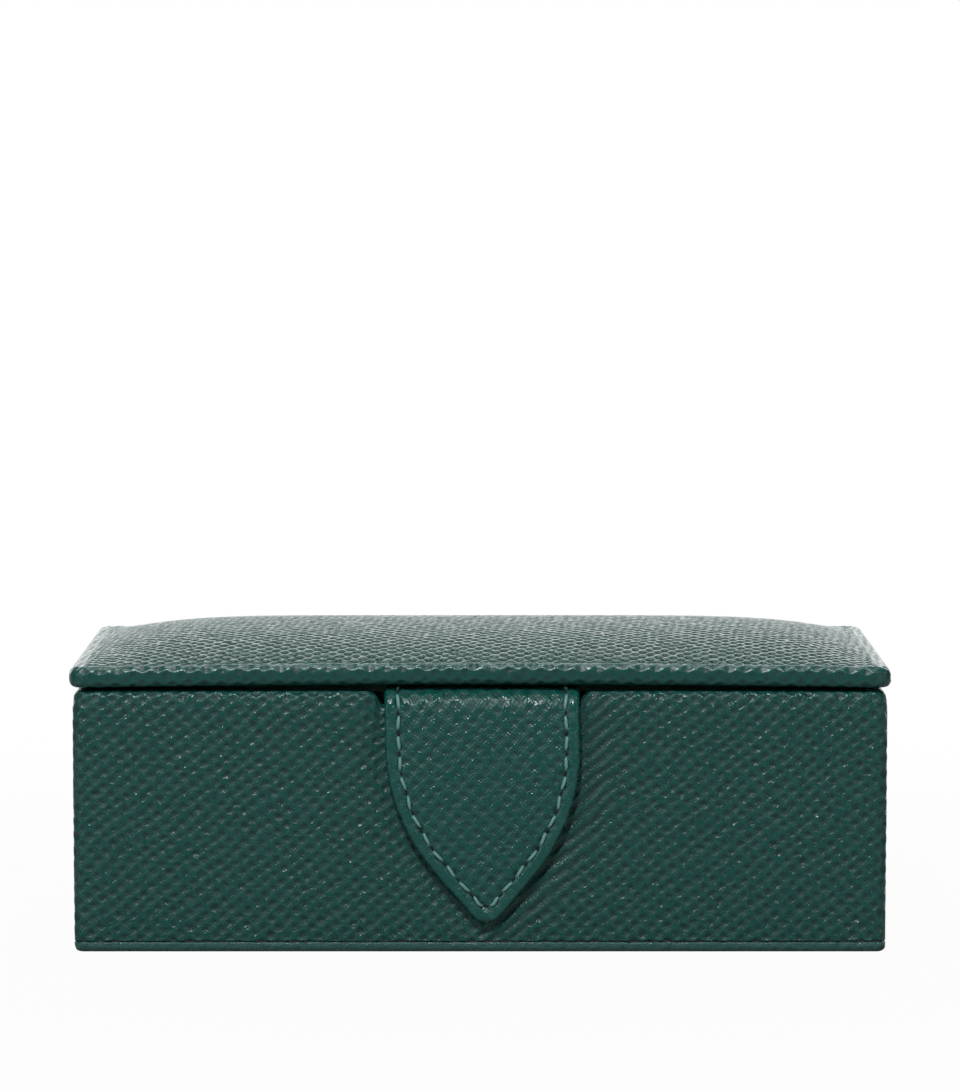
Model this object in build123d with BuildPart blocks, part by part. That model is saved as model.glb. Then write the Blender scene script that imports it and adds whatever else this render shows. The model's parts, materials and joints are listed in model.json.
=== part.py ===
from build123d import *
import os
from math import atan2, sin, tan

os.makedirs("parts", exist_ok=True)

# A leather-covered box with a padded lid, a pointed closing tab and a shallow drawer in its right-hand end.
# Millimetres. X runs along the width, the front faces -Y, +Z is up, and the origin is the middle of the
# underside.

# ---- Driving dimensions ----

# Walls
body_width = 148.8  # over the leather
body_depth = 93.8  # over the leather, without the spine
body_top = 47.9  # height of the leather on the walls' top edge
body_corner = 2.0
body_rim_round = 1.0
leather = 1.0
wall_board = 2.5
wall_suede = 0.8
spine = 0.8  # leather over the back

# Base plate
base_height = 1.9
base_setback = 0.2
base_round = 1.3
base_skin = 0.6
base_edge = 0.8
felt_margin = 12.0
felt_corner = 4.0
felt_gap = 0.2

# Drawer bay and upper tray
bay_lining = 0.5
bay_height = 18.0
shelf_board_thickness = 2.5
shelf_suede = 0.5
guide_thickness = 3.2
divider_thickness = 2.0
divider_height = 21.0
divider_gap = 0.1
tray_columns = 5
tray_rows = 3

# Lid
lid_gap = 0.5  # between the walls' top and the lid
lid_overhang = 0.6
lid_rim = 3.4
lid_corner = 3.0
lid_top_round = 1.5
lid_bottom_round = 1.2
lid_turn_in = 0.8  # leather folded under the lid's board
lid_board_thickness = 2.0
lid_plug = 1.8  # how far the lining reaches down inside the walls
lid_plug_gap = 0.3
lid_plug_round = 0.8
crown_height = 3.9
crown_margin = 2.0  # flat border between the crown and the lid's edge
crown_corner = 10.0
crown_power_x = 5.39
crown_power_y = 7.53
crown_levels = (0, 0.25, 0.5, 0.7, 0.85, 0.94, 0.985)

# Closing tab
tab_width = 35.6
tab_point = 3.7  # where the slanted sides would meet
tab_shoulder = 24.8  # where they would meet the upright sides
tab_side_radius = 36.0
tab_tip_radius = 3.6
tab_front = 1.1  # outer layer
tab_back = 1.0  # inner layer
tab_swing_gap = 0.2
tab_seat_gap = 0.15
tab_rest_gap = 0.4
tab_root_gap = 0.1
tab_root_setback = 0.3  # of the root's front behind the tab's outer layer
tab_tongue = 1.2  # thin end between the lid and its lining
tab_tongue_width = 30.0
tab_tongue_length = 10.0
recess_depth = 0.5
recess_border = 2.5
notch_side_gap = 0.55
notch_depth = 2.6
notch_shoulder = 1.8

# Stitches and closure
stitch_inset = 2.5
stitch_pitch = 3.6
stitch_length = 2.7
thread = 0.6
stitch_height = 0.3
closure_height = 20.0
magnet_radius = 4.5
magnet_thickness = 0.9
keeper_radius = 5.0
keeper_thickness = 1.2

# Drawer
drawer_gap = 0.3
drawer_lift = 0.1  # running gap under the drawer's floor
drawer_back_gap = 1.4
drawer_floor_thickness = 1.5
drawer_side = 2.0
drawer_suede = 0.6
drawer_cells = 3
drawer_divider_thickness = 1.6
drawer_divider_height = 12.0
drawer_travel = 95.0
stop_drop = 1.0
stop_width = 4.0
stop_length = 70.0
stop_gap = 0.2
drawer_side_gap = 0.4  # between the drawer's sides and the stop strip
drawer_end_gap = 0.2  # between the drawer's end and the shelf
drawer_front_round = 0.6

# Drawer pull
pull_width = 20.0
pull_leather = 1.2
pull_pivot_height = 14.0
pull_root_height = 4.2
pull_reach = 9.0
pull_corner = 7.0
pull_seat_gap = 0.12
pull_lie_gap = 0.1  # between the tongue and the drawer's front
pull_stitches = 5

# ---- Places worked out from them ----

outer_x, outer_y = body_width / 2, body_depth / 2
board_x, board_y = outer_x - leather, outer_y - leather
inner_x, inner_y = board_x - wall_board, board_y - wall_board
room_x, room_y = inner_x - wall_suede, inner_y - wall_suede
board_top = body_top - leather
bay_floor = base_height + bay_lining
shelf_bottom = bay_floor + bay_height
shelf_top = shelf_bottom + shelf_board_thickness
tray_floor = shelf_top + shelf_suede
window_half = inner_y - guide_thickness

lid_bottom = body_top + lid_gap
lid_top = lid_bottom + lid_rim
lid_width = body_width + 2 * lid_overhang
lid_depth = body_depth + lid_overhang + spine
lid_y = (spine - lid_overhang) / 2
lid_board_bottom = lid_bottom + lid_turn_in
lid_board_top = lid_board_bottom + lid_board_thickness
plug_x, plug_y = room_x - lid_plug_gap, room_y - lid_plug_gap
plug_bottom = lid_bottom - lid_plug

hinge_y = outer_y + spine / 2
hinge_z = body_top + lid_gap / 2
spine_half = outer_x - body_corner
spine_top = body_top - spine

notch_half = tab_width / 2 + notch_side_gap
notch_floor = body_top - notch_depth
tab_pivot_y = outer_y - recess_depth + tab_rest_gap + tab_back
tab_pivot_z = lid_bottom - tab_swing_gap - tab_front
tab_face = tab_pivot_y + tab_front
tab_half_angle = atan2(tab_width / 2, tab_shoulder - tab_point)
root_front = tab_pivot_y - tab_front + tab_root_setback
root_bottom = lid_bottom - tab_front - tab_back - tab_root_gap
tongue_front = room_y + lid_plug_gap
tongue_back = tongue_front - tab_tongue_length

front_bottom = base_height + drawer_gap
front_top = shelf_bottom - drawer_gap
front_half = window_half - drawer_gap
drawer_floor_bottom = bay_floor + drawer_lift
drawer_floor_top = drawer_floor_bottom + drawer_floor_thickness
drawer_back = -inner_x + drawer_back_gap
drawer_end_front = drawer_back + drawer_side
drawer_inner_half = front_half - drawer_side
drawer_side_top = shelf_bottom - stop_drop - drawer_side_gap
drawer_end_top = shelf_bottom - drawer_end_gap
drawer_room_back = drawer_end_front + drawer_suede
drawer_room_front = room_x - drawer_suede
drawer_room_half = drawer_inner_half - drawer_suede
drawer_room_floor = drawer_floor_top + drawer_suede
stop_back = drawer_end_front + drawer_travel + stop_gap
pull_radius = pull_leather / 2
pull_pivot_x = outer_x + pull_radius


# ---- Forms that repeat ----

def block(x_limits, y_limits, z_limits):
    """Square-edged solid between the given limits."""
    with BuildPart() as solid:
        with BuildSketch(Plane.XY.offset(z_limits[0])):
            with Locations((sum(x_limits) / 2, sum(y_limits) / 2)):
                Rectangle(x_limits[1] - x_limits[0], y_limits[1] - y_limits[0])
        extrude(amount=z_limits[1] - z_limits[0])
    return solid


def rounded_slab(width, depth, corner, z_limits, centre_y=0.0):
    """Flat slab with rounded upright corners."""
    with BuildPart() as solid:
        with BuildSketch(Plane.XY.offset(z_limits[0])):
            with Locations((0, centre_y)):
                RectangleRounded(width, depth, corner)
        extrude(amount=z_limits[1] - z_limits[0])
    return solid


def rod(centre_y, centre_z, radius, length):
    """Round bar along X through the given point."""
    with BuildPart() as solid:
        with BuildSketch(Plane.YZ.offset(-length / 2)):
            with Locations((centre_y, centre_z)):
                Circle(radius)
        extrude(amount=length)
    return solid


def disc(radius, front_y, thickness):
    """Round disc facing the front, at the height of the closure."""
    with BuildPart() as solid:
        with BuildSketch(Plane.XZ.offset(front_y - thickness)):
            with Locations((0, closure_height)):
                Circle(radius)
        extrude(amount=thickness)
    return solid


def tab_corners(inset, top):
    """Corners of the tab's outline before rounding, set in from its edge: top left, round to top right."""
    half = tab_width / 2 - inset
    point = tab_point + inset / sin(tab_half_angle)
    shoulder = point + half / tan(tab_half_angle)
    return [(-half, top), (-half, shoulder), (0, point), (half, shoulder), (half, top)]


def tab_radii(inset):
    """Radii of the tab's left side, tip and right side."""
    side = tab_side_radius - inset
    return [side, tab_tip_radius - inset, side]


def tab_layer(inset, top, back_y, thickness):
    """Upright layer with the tab's outline, from back_y in front of the box's middle outwards."""
    with BuildPart() as solid:
        with BuildSketch(Plane.XZ.offset(back_y)):
            with BuildLine() as edge:
                FilletPolyline(*tab_corners(inset, top), radius=tab_radii(inset))
                Line(edge.line @ 1, edge.line @ 0)
            make_face()
        extrude(amount=thickness)
    return solid


def notch_cut():
    """Cut for the tab through the front wall's leather, with rounded shoulders at the wall's top."""
    shoulder_x, shoulder_z = notch_half + notch_shoulder, body_top - notch_shoulder
    with BuildPart() as solid:
        with BuildSketch(Plane.XZ.offset(room_y)):
            with Locations((0, (notch_floor + lid_top) / 2)):
                Rectangle(2 * notch_half, lid_top - notch_floor)
            with Locations((0, (shoulder_z + lid_top) / 2)):
                Rectangle(2 * shoulder_x, lid_top - shoulder_z)
            with Locations((shoulder_x, shoulder_z), (-shoulder_x, shoulder_z)):
                Circle(notch_shoulder, mode=Mode.SUBTRACT)
        extrude(amount=outer_y - room_y)
    return solid


def crown(foot):
    """Swelling of the padded lid above the given height: steep at its borders, flat in the middle."""
    half_x = lid_width / 2 - crown_margin
    half_y = lid_depth / 2 - crown_margin
    with BuildPart() as solid:
        for share in crown_levels:
            with BuildSketch(Plane.XY.offset(foot + crown_height * share)):
                with Locations((0, lid_y)):
                    RectangleRounded(
                        2 * half_x * (1 - share) ** (1 / crown_power_x),
                        2 * half_y * (1 - share) ** (1 / crown_power_y),
                        lid_corner + crown_corner * share ** 0.2,
                    )
        loft()
    return solid


def tray_divider(plane, length, crossings, slot_bottom):
    """Standing divider of the upper tray, slotted half its height where others cross it."""
    slot_height = divider_height / 2 + divider_gap
    with BuildPart() as solid:
        with BuildSketch(plane):
            with Locations((0, tray_floor + divider_height / 2)):
                Rectangle(length - 2 * divider_gap, divider_height)
            with Locations(*[(place, slot_bottom + slot_height / 2) for place in crossings]):
                Rectangle(divider_thickness + 2 * divider_gap, slot_height, mode=Mode.SUBTRACT)
        extrude(amount=divider_thickness / 2, both=True)
    return solid


def divider_places(length, cells, thickness):
    """Middles of the dividers that part a length into equal cells."""
    cell = (length - (cells - 1) * thickness) / cells
    step = cell + thickness
    return [(number - cells / 2) * step for number in range(1, cells)]


# ---- Base plate ----

base_width, base_depth = body_width - 2 * base_setback, body_depth - 2 * base_setback

base_board = rounded_slab(
    base_width - 2 * base_edge,
    base_depth - 2 * base_edge,
    body_corner - base_edge,
    (base_skin, base_height),
)

underside_felt = rounded_slab(
    base_width - 2 * felt_margin, base_depth - 2 * felt_margin, felt_corner, (0, base_skin)
)

with BuildPart() as base_cover:
    with BuildSketch():
        RectangleRounded(base_width, base_depth, body_corner)
    extrude(amount=base_height)
    fillet(base_cover.edges().group_by(Axis.Z)[0], radius=base_round)
    add(base_board.part, mode=Mode.SUBTRACT)
    with BuildSketch():
        RectangleRounded(
            base_width - 2 * (felt_margin - felt_gap),
            base_depth - 2 * (felt_margin - felt_gap),
            felt_corner + felt_gap,
        )
    extrude(amount=base_skin, mode=Mode.SUBTRACT)

# ---- Wall boards ----

wall_heights = (base_height, board_top)
closure_keeper = disc(keeper_radius, board_y, keeper_thickness)
notch_in_boards = block(
    (-notch_half - leather, notch_half + leather),
    (-outer_y, -room_y),
    (notch_floor - leather, lid_top),
)
window_in_board = block(
    (inner_x, board_x),
    (-window_half - leather, window_half + leather),
    (base_height, shelf_bottom + leather),
)

with BuildPart() as front_wall_board:
    add(block((-board_x, board_x), (-board_y, -inner_y), wall_heights).part)
    outer_corners = front_wall_board.edges().filter_by(Axis.Z).group_by(Axis.Y)[0]
    fillet(outer_corners, radius=body_corner - leather)
    add(notch_in_boards.part, mode=Mode.SUBTRACT)
    add(closure_keeper.part, mode=Mode.SUBTRACT)

with BuildPart() as back_wall_board:
    add(block((-board_x, board_x), (inner_y, board_y), wall_heights).part)
    outer_corners = back_wall_board.edges().filter_by(Axis.Z).group_by(Axis.Y)[-1]
    fillet(outer_corners, radius=body_corner - leather)

left_wall_board = block((-board_x, -inner_x), (-inner_y, inner_y), wall_heights)

with BuildPart() as right_wall_board:
    add(block((inner_x, board_x), (-inner_y, inner_y), wall_heights).part)
    add(window_in_board.part, mode=Mode.SUBTRACT)

# ---- Leather over the walls, turned over their top, into the notch and round the drawer's window ----

with BuildPart() as body_cover:
    with BuildSketch(Plane.XY.offset(base_height)):
        RectangleRounded(body_width, body_depth, body_corner)
    extrude(amount=body_top - base_height)
    fillet(body_cover.edges().group_by(Axis.Z)[-1], radius=body_rim_round)
    add(
        rounded_slab(2 * board_x, 2 * board_y, body_corner - leather, wall_heights).part,
        mode=Mode.SUBTRACT,
    )
    add(block((-room_x, room_x), (-room_y, room_y), (board_top, body_top)).part, mode=Mode.SUBTRACT)
    add(
        block(
            (-notch_half - leather, notch_half + leather),
            (-board_y, -room_y),
            (notch_floor - leather, board_top),
        ).part
    )
    add(window_in_board.part)
    add(
        block((inner_x, outer_x), (-window_half, window_half), (base_height, shelf_bottom)).part,
        mode=Mode.SUBTRACT,
    )
    add(notch_cut().part, mode=Mode.SUBTRACT)
    add(
        tab_layer(-recess_border, lid_top, outer_y - recess_depth, 2 * recess_depth).part,
        mode=Mode.SUBTRACT,
    )

spine_cover = block((-spine_half, spine_half), (outer_y, outer_y + spine), (base_height, spine_top))

with BuildPart() as spine_fold:
    add(block((-spine_half, spine_half), (outer_y, outer_y + spine), (spine_top, hinge_z)).part)
    add(rod(hinge_y, hinge_z, spine / 2, 2 * spine_half).part)

inner_hinge = block((-room_x, room_x), (room_y, outer_y - body_rim_round), (body_top, lid_bottom))

# ---- Shelf, tray and linings ----

shelf_board = block((-inner_x, inner_x), (-inner_y, inner_y), (shelf_bottom, shelf_top))
shelf_lining = block((-inner_x, inner_x), (-inner_y, inner_y), (shelf_top, tray_floor))

with BuildPart() as wall_lining:
    add(block((-inner_x, inner_x), (-inner_y, inner_y), (tray_floor, board_top)).part)
    add(block((-room_x, room_x), (-room_y, room_y), (tray_floor, board_top)).part, mode=Mode.SUBTRACT)
    add(notch_in_boards.part, mode=Mode.SUBTRACT)

column_places = divider_places(2 * room_x, tray_columns, divider_thickness)
row_places = divider_places(2 * room_y, tray_rows, divider_thickness)
middle_height = tray_floor + divider_height / 2

long_dividers = [
    tray_divider(Plane.XZ.offset(-place), 2 * room_x, column_places, middle_height - divider_gap)
    for place in row_places
]
cross_dividers = [
    tray_divider(Plane.YZ.offset(place), 2 * room_y, row_places, tray_floor)
    for place in column_places
]

# ---- Drawer bay ----

bay_floor_lining = block(
    (-inner_x, room_x - drawer_gap), (-window_half, window_half), (base_height, bay_floor)
)
drawer_guides = [
    block((-inner_x, inner_x), limits, (base_height, shelf_bottom))
    for limits in ((-inner_y, -window_half), (window_half, inner_y))
]
drawer_stop_strip = block(
    (stop_back, stop_back + stop_width),
    (-stop_length / 2, stop_length / 2),
    (shelf_bottom - stop_drop, shelf_bottom),
)

# ---- Drawer ----

drawer_front_board = block(
    (room_x, board_x),
    (-front_half + leather, front_half - leather),
    (front_bottom + leather, front_top - leather),
)

with BuildPart() as drawer_front_cover:
    add(block((room_x, outer_x), (-front_half, front_half), (front_bottom, front_top)).part)
    fillet(drawer_front_cover.edges().group_by(Axis.X)[-1], radius=drawer_front_round)
    add(drawer_front_board.part, mode=Mode.SUBTRACT)

drawer_floor = block(
    (drawer_back, room_x), (-front_half, front_half), (drawer_floor_bottom, drawer_floor_top)
)
drawer_sides = [
    block((drawer_end_front, room_x), limits, (drawer_floor_top, drawer_side_top))
    for limits in ((-front_half, -drawer_inner_half), (drawer_inner_half, front_half))
]
drawer_end = block(
    (drawer_back, drawer_end_front), (-front_half, front_half), (drawer_floor_top, drawer_end_top)
)

with BuildPart() as drawer_lining:
    add(
        block(
            (drawer_end_front, room_x),
            (-drawer_inner_half, drawer_inner_half),
            (drawer_floor_top, drawer_side_top),
        ).part
    )
    add(
        block(
            (drawer_room_back, drawer_room_front),
            (-drawer_room_half, drawer_room_half),
            (drawer_room_floor, drawer_side_top),
        ).part,
        mode=Mode.SUBTRACT,
    )

drawer_middle = (drawer_room_back + drawer_room_front) / 2
drawer_room_length = drawer_room_front - drawer_room_back
drawer_dividers = [
    block(
        (drawer_middle + place - drawer_divider_thickness / 2,
         drawer_middle + place + drawer_divider_thickness / 2),
        (-drawer_room_half, drawer_room_half),
        (drawer_room_floor, drawer_room_floor + drawer_divider_height),
    )
    for place in divider_places(drawer_room_length, drawer_cells, drawer_divider_thickness)
]

# ---- Drawer pull: a leather tongue that hangs from a sewn root ----

pull_root_bottom = pull_pivot_height + pull_radius + pull_seat_gap
pull_root_top = pull_pivot_height + pull_root_height
pull_root = block(
    (outer_x, outer_x + pull_leather),
    (-pull_width / 2, pull_width / 2),
    (pull_root_bottom, pull_root_top),
)

with BuildPart() as drawer_pull:
    with BuildSketch(Plane.YZ.offset(outer_x + pull_lie_gap)):
        with Locations((0, pull_pivot_height - pull_reach / 2)):
            Rectangle(pull_width, pull_reach)
        lower_corners = vertices().group_by(Axis.Y)[0]
        fillet(lower_corners, radius=pull_corner)
    extrude(amount=pull_leather - pull_lie_gap)
    with BuildSketch(Plane.XZ.offset(-pull_width / 2)):
        with Locations((pull_pivot_x, pull_pivot_height)):
            Circle(pull_radius)
    extrude(amount=pull_width)

pull_stitch_pitch = (pull_width - 2 * stitch_inset) / pull_stitches
with BuildPart() as pull_stitching:
    with BuildSketch(Plane.YZ.offset(outer_x + pull_leather)):
        with Locations((0, (pull_root_bottom + pull_root_top) / 2)):
            with GridLocations(pull_stitch_pitch, 0, pull_stitches, 1):
                SlotOverall(stitch_length, thread)
    extrude(amount=stitch_height)

# ---- Lid ----

lid_board = rounded_slab(
    lid_width - 2 * leather,
    lid_depth - 2 * leather,
    lid_corner - leather,
    (lid_board_bottom, lid_board_top),
    lid_y,
)

with BuildPart() as lid_pad:
    add(crown(lid_top - leather).part)
    split(bisect_by=Plane.XY.offset(lid_board_top), keep=Keep.TOP)

with BuildPart() as lid_cover:
    add(rounded_slab(lid_width, lid_depth, lid_corner, (lid_bottom, lid_top), lid_y).part)
    fillet(lid_cover.edges().group_by(Axis.Z)[-1], radius=lid_top_round)
    fillet(lid_cover.edges().group_by(Axis.Z)[0], radius=lid_bottom_round)
    add(crown(lid_top).part)
    add(lid_board.part, mode=Mode.SUBTRACT)
    add(lid_pad.part, mode=Mode.SUBTRACT)
    add(
        block((-plug_x, plug_x), (-plug_y, plug_y), (lid_bottom, lid_board_bottom)).part,
        mode=Mode.SUBTRACT,
    )

# ---- Closing tab: its root under the lid, and the part that bends down over the front ----

with BuildPart() as tab_root:
    add(
        block(
            (-tab_width / 2, tab_width / 2), (-root_front, -tongue_front), (root_bottom, lid_bottom)
        ).part
    )
    add(
        block(
            (-tab_tongue_width / 2, tab_tongue_width / 2),
            (-tongue_front, -tongue_back),
            (lid_bottom - tab_tongue, lid_bottom),
        ).part
    )
    add(rod(-tab_pivot_y, tab_pivot_z, tab_front + tab_seat_gap, tab_width).part, mode=Mode.SUBTRACT)

with BuildPart() as lid_lining:
    add(block((-plug_x, plug_x), (-plug_y, plug_y), (plug_bottom, lid_board_bottom)).part)
    fillet(lid_lining.edges().group_by(Axis.Z)[0], radius=lid_plug_round)
    add(tab_root.part, mode=Mode.SUBTRACT)

closure_magnet = disc(magnet_radius, tab_pivot_y + magnet_thickness / 2, magnet_thickness)

with BuildPart() as tab_leather:
    add(tab_layer(0, tab_pivot_z, tab_pivot_y, tab_front).part)
    add(rod(-tab_pivot_y, tab_pivot_z, tab_front, tab_width).part)
    add(closure_magnet.part, mode=Mode.SUBTRACT)

with BuildPart() as tab_lining:
    add(tab_layer(0, tab_pivot_z - tab_front, tab_pivot_y - tab_back, tab_back).part)
    add(closure_magnet.part, mode=Mode.SUBTRACT)

with BuildLine(Plane.XZ.offset(tab_face)) as stitch_line:
    FilletPolyline(*tab_corners(stitch_inset, tab_pivot_z - tab_front), radius=tab_radii(stitch_inset))
stitch_path = stitch_line.line.wires()[0]
stitch_count = round(stitch_path.length / stitch_pitch)

with BuildPart() as tab_stitching:
    for number in range(stitch_count):
        along = (number + 0.5) / stitch_count
        place = Plane(
            origin=stitch_path.position_at(along),
            x_dir=stitch_path.tangent_at(along),
            z_dir=(0, -1, 0),
        )
        with BuildSketch(place):
            SlotOverall(stitch_length, thread)
        extrude(amount=stitch_height)

# ---- Pieces written, each under its node's name ----

pieces = {
    "base_board": base_board,
    "base_cover": base_cover,
    "underside_felt": underside_felt,
    "front_wall_board": front_wall_board,
    "back_wall_board": back_wall_board,
    "left_wall_board": left_wall_board,
    "right_wall_board": right_wall_board,
    "body_cover": body_cover,
    "spine_cover": spine_cover,
    "spine_fold": spine_fold,
    "inner_hinge": inner_hinge,
    "closure_keeper": closure_keeper,
    "shelf_board": shelf_board,
    "shelf_lining": shelf_lining,
    "wall_lining": wall_lining,
    "bay_floor_lining": bay_floor_lining,
    "drawer_guide_front": drawer_guides[0],
    "drawer_guide_back": drawer_guides[1],
    "drawer_stop_strip": drawer_stop_strip,
    "drawer_front_board": drawer_front_board,
    "drawer_front_cover": drawer_front_cover,
    "drawer_floor": drawer_floor,
    "drawer_side_front": drawer_sides[0],
    "drawer_side_back": drawer_sides[1],
    "drawer_end": drawer_end,
    "drawer_lining": drawer_lining,
    "pull_root": pull_root,
    "drawer_pull": drawer_pull,
    "pull_stitching": pull_stitching,
    "lid_board": lid_board,
    "lid_pad": lid_pad,
    "lid_cover": lid_cover,
    "lid_lining": lid_lining,
    "tab_root": tab_root,
    "tab_leather": tab_leather,
    "tab_lining": tab_lining,
    "tab_stitching": tab_stitching,
    "closure_magnet": closure_magnet,
}
for number, piece in enumerate(long_dividers, start=1):
    pieces[f"long_divider_{number}"] = piece
for number, piece in enumerate(cross_dividers, start=1):
    pieces[f"cross_divider_{number}"] = piece
for number, piece in enumerate(drawer_dividers, start=1):
    pieces[f"drawer_divider_{number}"] = piece

for name, piece in pieces.items():
    piece.part.label = name
    export_step(piece.part, f"parts/{name}.step")
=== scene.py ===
import json
import math

import bpy
import numpy as np
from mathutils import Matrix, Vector


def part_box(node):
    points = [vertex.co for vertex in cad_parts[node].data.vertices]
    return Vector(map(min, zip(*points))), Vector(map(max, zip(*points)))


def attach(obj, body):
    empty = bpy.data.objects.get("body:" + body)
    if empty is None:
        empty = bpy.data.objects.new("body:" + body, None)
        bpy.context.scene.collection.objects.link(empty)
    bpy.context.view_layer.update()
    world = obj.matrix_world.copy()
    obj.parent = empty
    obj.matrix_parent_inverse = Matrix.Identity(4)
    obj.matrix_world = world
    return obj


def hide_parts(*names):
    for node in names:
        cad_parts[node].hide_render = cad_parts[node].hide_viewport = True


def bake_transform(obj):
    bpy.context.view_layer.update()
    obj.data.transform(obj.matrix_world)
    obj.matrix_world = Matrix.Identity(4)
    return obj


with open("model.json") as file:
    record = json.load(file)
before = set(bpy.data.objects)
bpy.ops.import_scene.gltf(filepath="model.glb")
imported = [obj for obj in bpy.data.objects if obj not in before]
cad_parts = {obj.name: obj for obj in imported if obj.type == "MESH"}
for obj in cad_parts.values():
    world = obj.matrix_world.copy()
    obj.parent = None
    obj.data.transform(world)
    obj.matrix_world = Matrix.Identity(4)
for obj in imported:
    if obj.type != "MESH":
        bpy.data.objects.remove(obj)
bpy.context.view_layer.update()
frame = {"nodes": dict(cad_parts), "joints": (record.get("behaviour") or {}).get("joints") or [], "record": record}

# Lengths in this script are millimetres until a mesh is made; METRE turns them into Blender's metres.
METRE = 0.001
rng = np.random.default_rng(7)


# ---- The frame's sizes, in millimetres ----

def limits(node):
    """Lowest and highest corner of a CAD node, in millimetres."""
    low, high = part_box(node)
    return np.array(low) / METRE, np.array(high) / METRE


def extent(node):
    """Lowest and highest corner of a CAD node, half its size, and its middle."""
    low, high = limits(node)
    return low, high, (high - low) / 2, (high + low) / 2


def pivot(joint_name):
    """Place of a joint, in millimetres."""
    joint = next(item for item in frame["joints"] if item["name"] == joint_name)
    return np.array(joint["pos_m"]) / METRE


body_high = limits("body_cover")[1]
lid_low, lid_high = limits("lid_cover")
base_low, base_high = limits("base_cover")
spine_low, spine_high = limits("spine_cover")
wall_low, wall_high = limits("wall_lining")
tab_low, tab_high = limits("tab_leather")
tab_back_high = limits("tab_lining")[1]
root_high = limits("tab_root")[1]
pull_low, pull_high = limits("drawer_pull")
pull_root_high = limits("pull_root")[1]
front_low, front_high = limits("drawer_front_cover")
hinge, tab_pivot, pull_pivot = pivot("lid_hinge"), pivot("tab_flex"), pivot("pull_lift")

BODY_X, BODY_Y = body_high[0], body_high[1]
BODY_TOP = body_high[2]
BASE_TOP = base_high[2]
LID_BOTTOM = lid_low[2]
LID_RIM = 3.85  # height of the lid's rim, with its grain
LID_TOP = LID_BOTTOM + LID_RIM
LID_X = lid_high[0]
LID_Y = (lid_high[1] - lid_low[1]) / 2
LID_MIDDLE_Y = (lid_high[1] + lid_low[1]) / 2


# ---- Meshes ----

def make_piece(name, points, faces, material, leather_map=None, wrap=None, relief=None, flattened=None):
    """Mesh object from points in millimetres, shaded smooth, with an optional flat map of its covering.

    wrap is the length at which the map has gone right round the piece. relief is a leather's pits, 0 to 1,
    at each point: they are sunk into the mesh and kept for its material. flattened, 0 to 1, is kept too."""
    mesh = bpy.data.meshes.new(name)
    mesh.from_pydata((np.asarray(points) * METRE).tolist(), [], [list(map(int, face)) for face in faces])
    mesh.shade_smooth()
    if relief is not None:
        facing = np.empty(len(mesh.vertices) * 3, np.float32)
        mesh.vertices.foreach_get("normal", facing)
        sunk = np.asarray(points) - facing.reshape(-1, 3) * np.asarray(relief)[:, None] * PIT_DEPTH
        mesh.vertices.foreach_set("co", (sunk * METRE).astype(np.float32).ravel())
        mesh.update()
    for kept_name, kept_values in (("pits", relief), ("flattened", flattened)):
        if kept_values is not None:
            kept = mesh.attributes.new(kept_name, "FLOAT", "POINT")
            kept.data.foreach_set("value", np.asarray(kept_values, np.float32))
    if leather_map is not None:
        corners = np.empty(len(mesh.loops), np.int32)
        mesh.loops.foreach_get("vertex_index", corners)
        values = np.zeros((len(corners), 3), np.float32)
        values[:, :2] = np.asarray(leather_map)[corners]
        if wrap:
            starts = np.empty(len(mesh.polygons), np.int32)
            mesh.polygons.foreach_get("loop_start", starts)
            furthest = np.maximum.reduceat(values[:, 0], starts)
            sizes = np.diff(np.append(starts, len(corners)))
            behind = np.repeat(furthest, sizes) - values[:, 0] > wrap / 2
            values[:, 0] += wrap * behind
        attribute = mesh.attributes.new("leather_map", "FLOAT_VECTOR", "CORNER")
        attribute.data.foreach_set("vector", values.ravel())
    mesh.materials.append(material)
    piece = bpy.data.objects.new(name, mesh)
    bpy.context.scene.collection.objects.link(piece)
    return piece


def dress(piece, body, slot, *nodes):
    """Attaches a piece to its body and hides the CAD nodes that it stands for; slot is not used."""
    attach(piece, body)
    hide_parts(*nodes)


def dress_bent(piece, bodies, start, end, slot, *nodes):
    """Bakes a piece's placing into its mesh and hides the CAD nodes that it stands for; bodies, start, end and
    slot are not used.
    """
    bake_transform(piece)
    if nodes:
        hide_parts(*nodes)


def quads(indices):
    """Quads of a grid of point numbers."""
    corners = (indices[:-1, :-1], indices[:-1, 1:], indices[1:, 1:], indices[1:, :-1])
    return list(zip(*(corner.ravel().tolist() for corner in corners)))


def grid_faces(rows, columns, around=False, start=0):
    """Quads of a grid of points; around joins the last column to the first."""
    indices = start + np.arange(rows * columns).reshape(rows, columns)
    if around:
        indices = np.column_stack([indices, indices[:, 0]])
    return quads(indices)


def turned(faces):
    """The same faces, facing the other way."""
    return [tuple(reversed(face)) for face in faces]


def rim_faces(border, shift):
    """Quads that join a line of points to the same line, shift points further on."""
    return [(low, high, high + shift, low + shift) for low, high in zip(border[:-1], border[1:])]


def strip_faces(rows, columns, turn_outer=True, sides=True, ends=True):
    """Faces of a flat closed strip: the grid of its outer side, that of its inner side, and the rim between.

    turn_outer turns the outer grid's quads over instead of the inner ones. sides and ends say which parts of
    the rim need faces: where the strip is thinned to nothing, they don't."""
    total = rows * columns
    outer, inner = grid_faces(rows, columns), grid_faces(rows, columns, start=total)
    faces = turned(outer) + inner if turn_outer else outer + turned(inner)
    if sides:
        faces += rim_faces(range(0, total, columns), total)
        faces += turned(rim_faces(range(columns - 1, total, columns), total))
    if ends:
        faces += turned(rim_faces(range(columns), total))
        faces += rim_faces(range(total - columns, total), total)
    return faces


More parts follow.
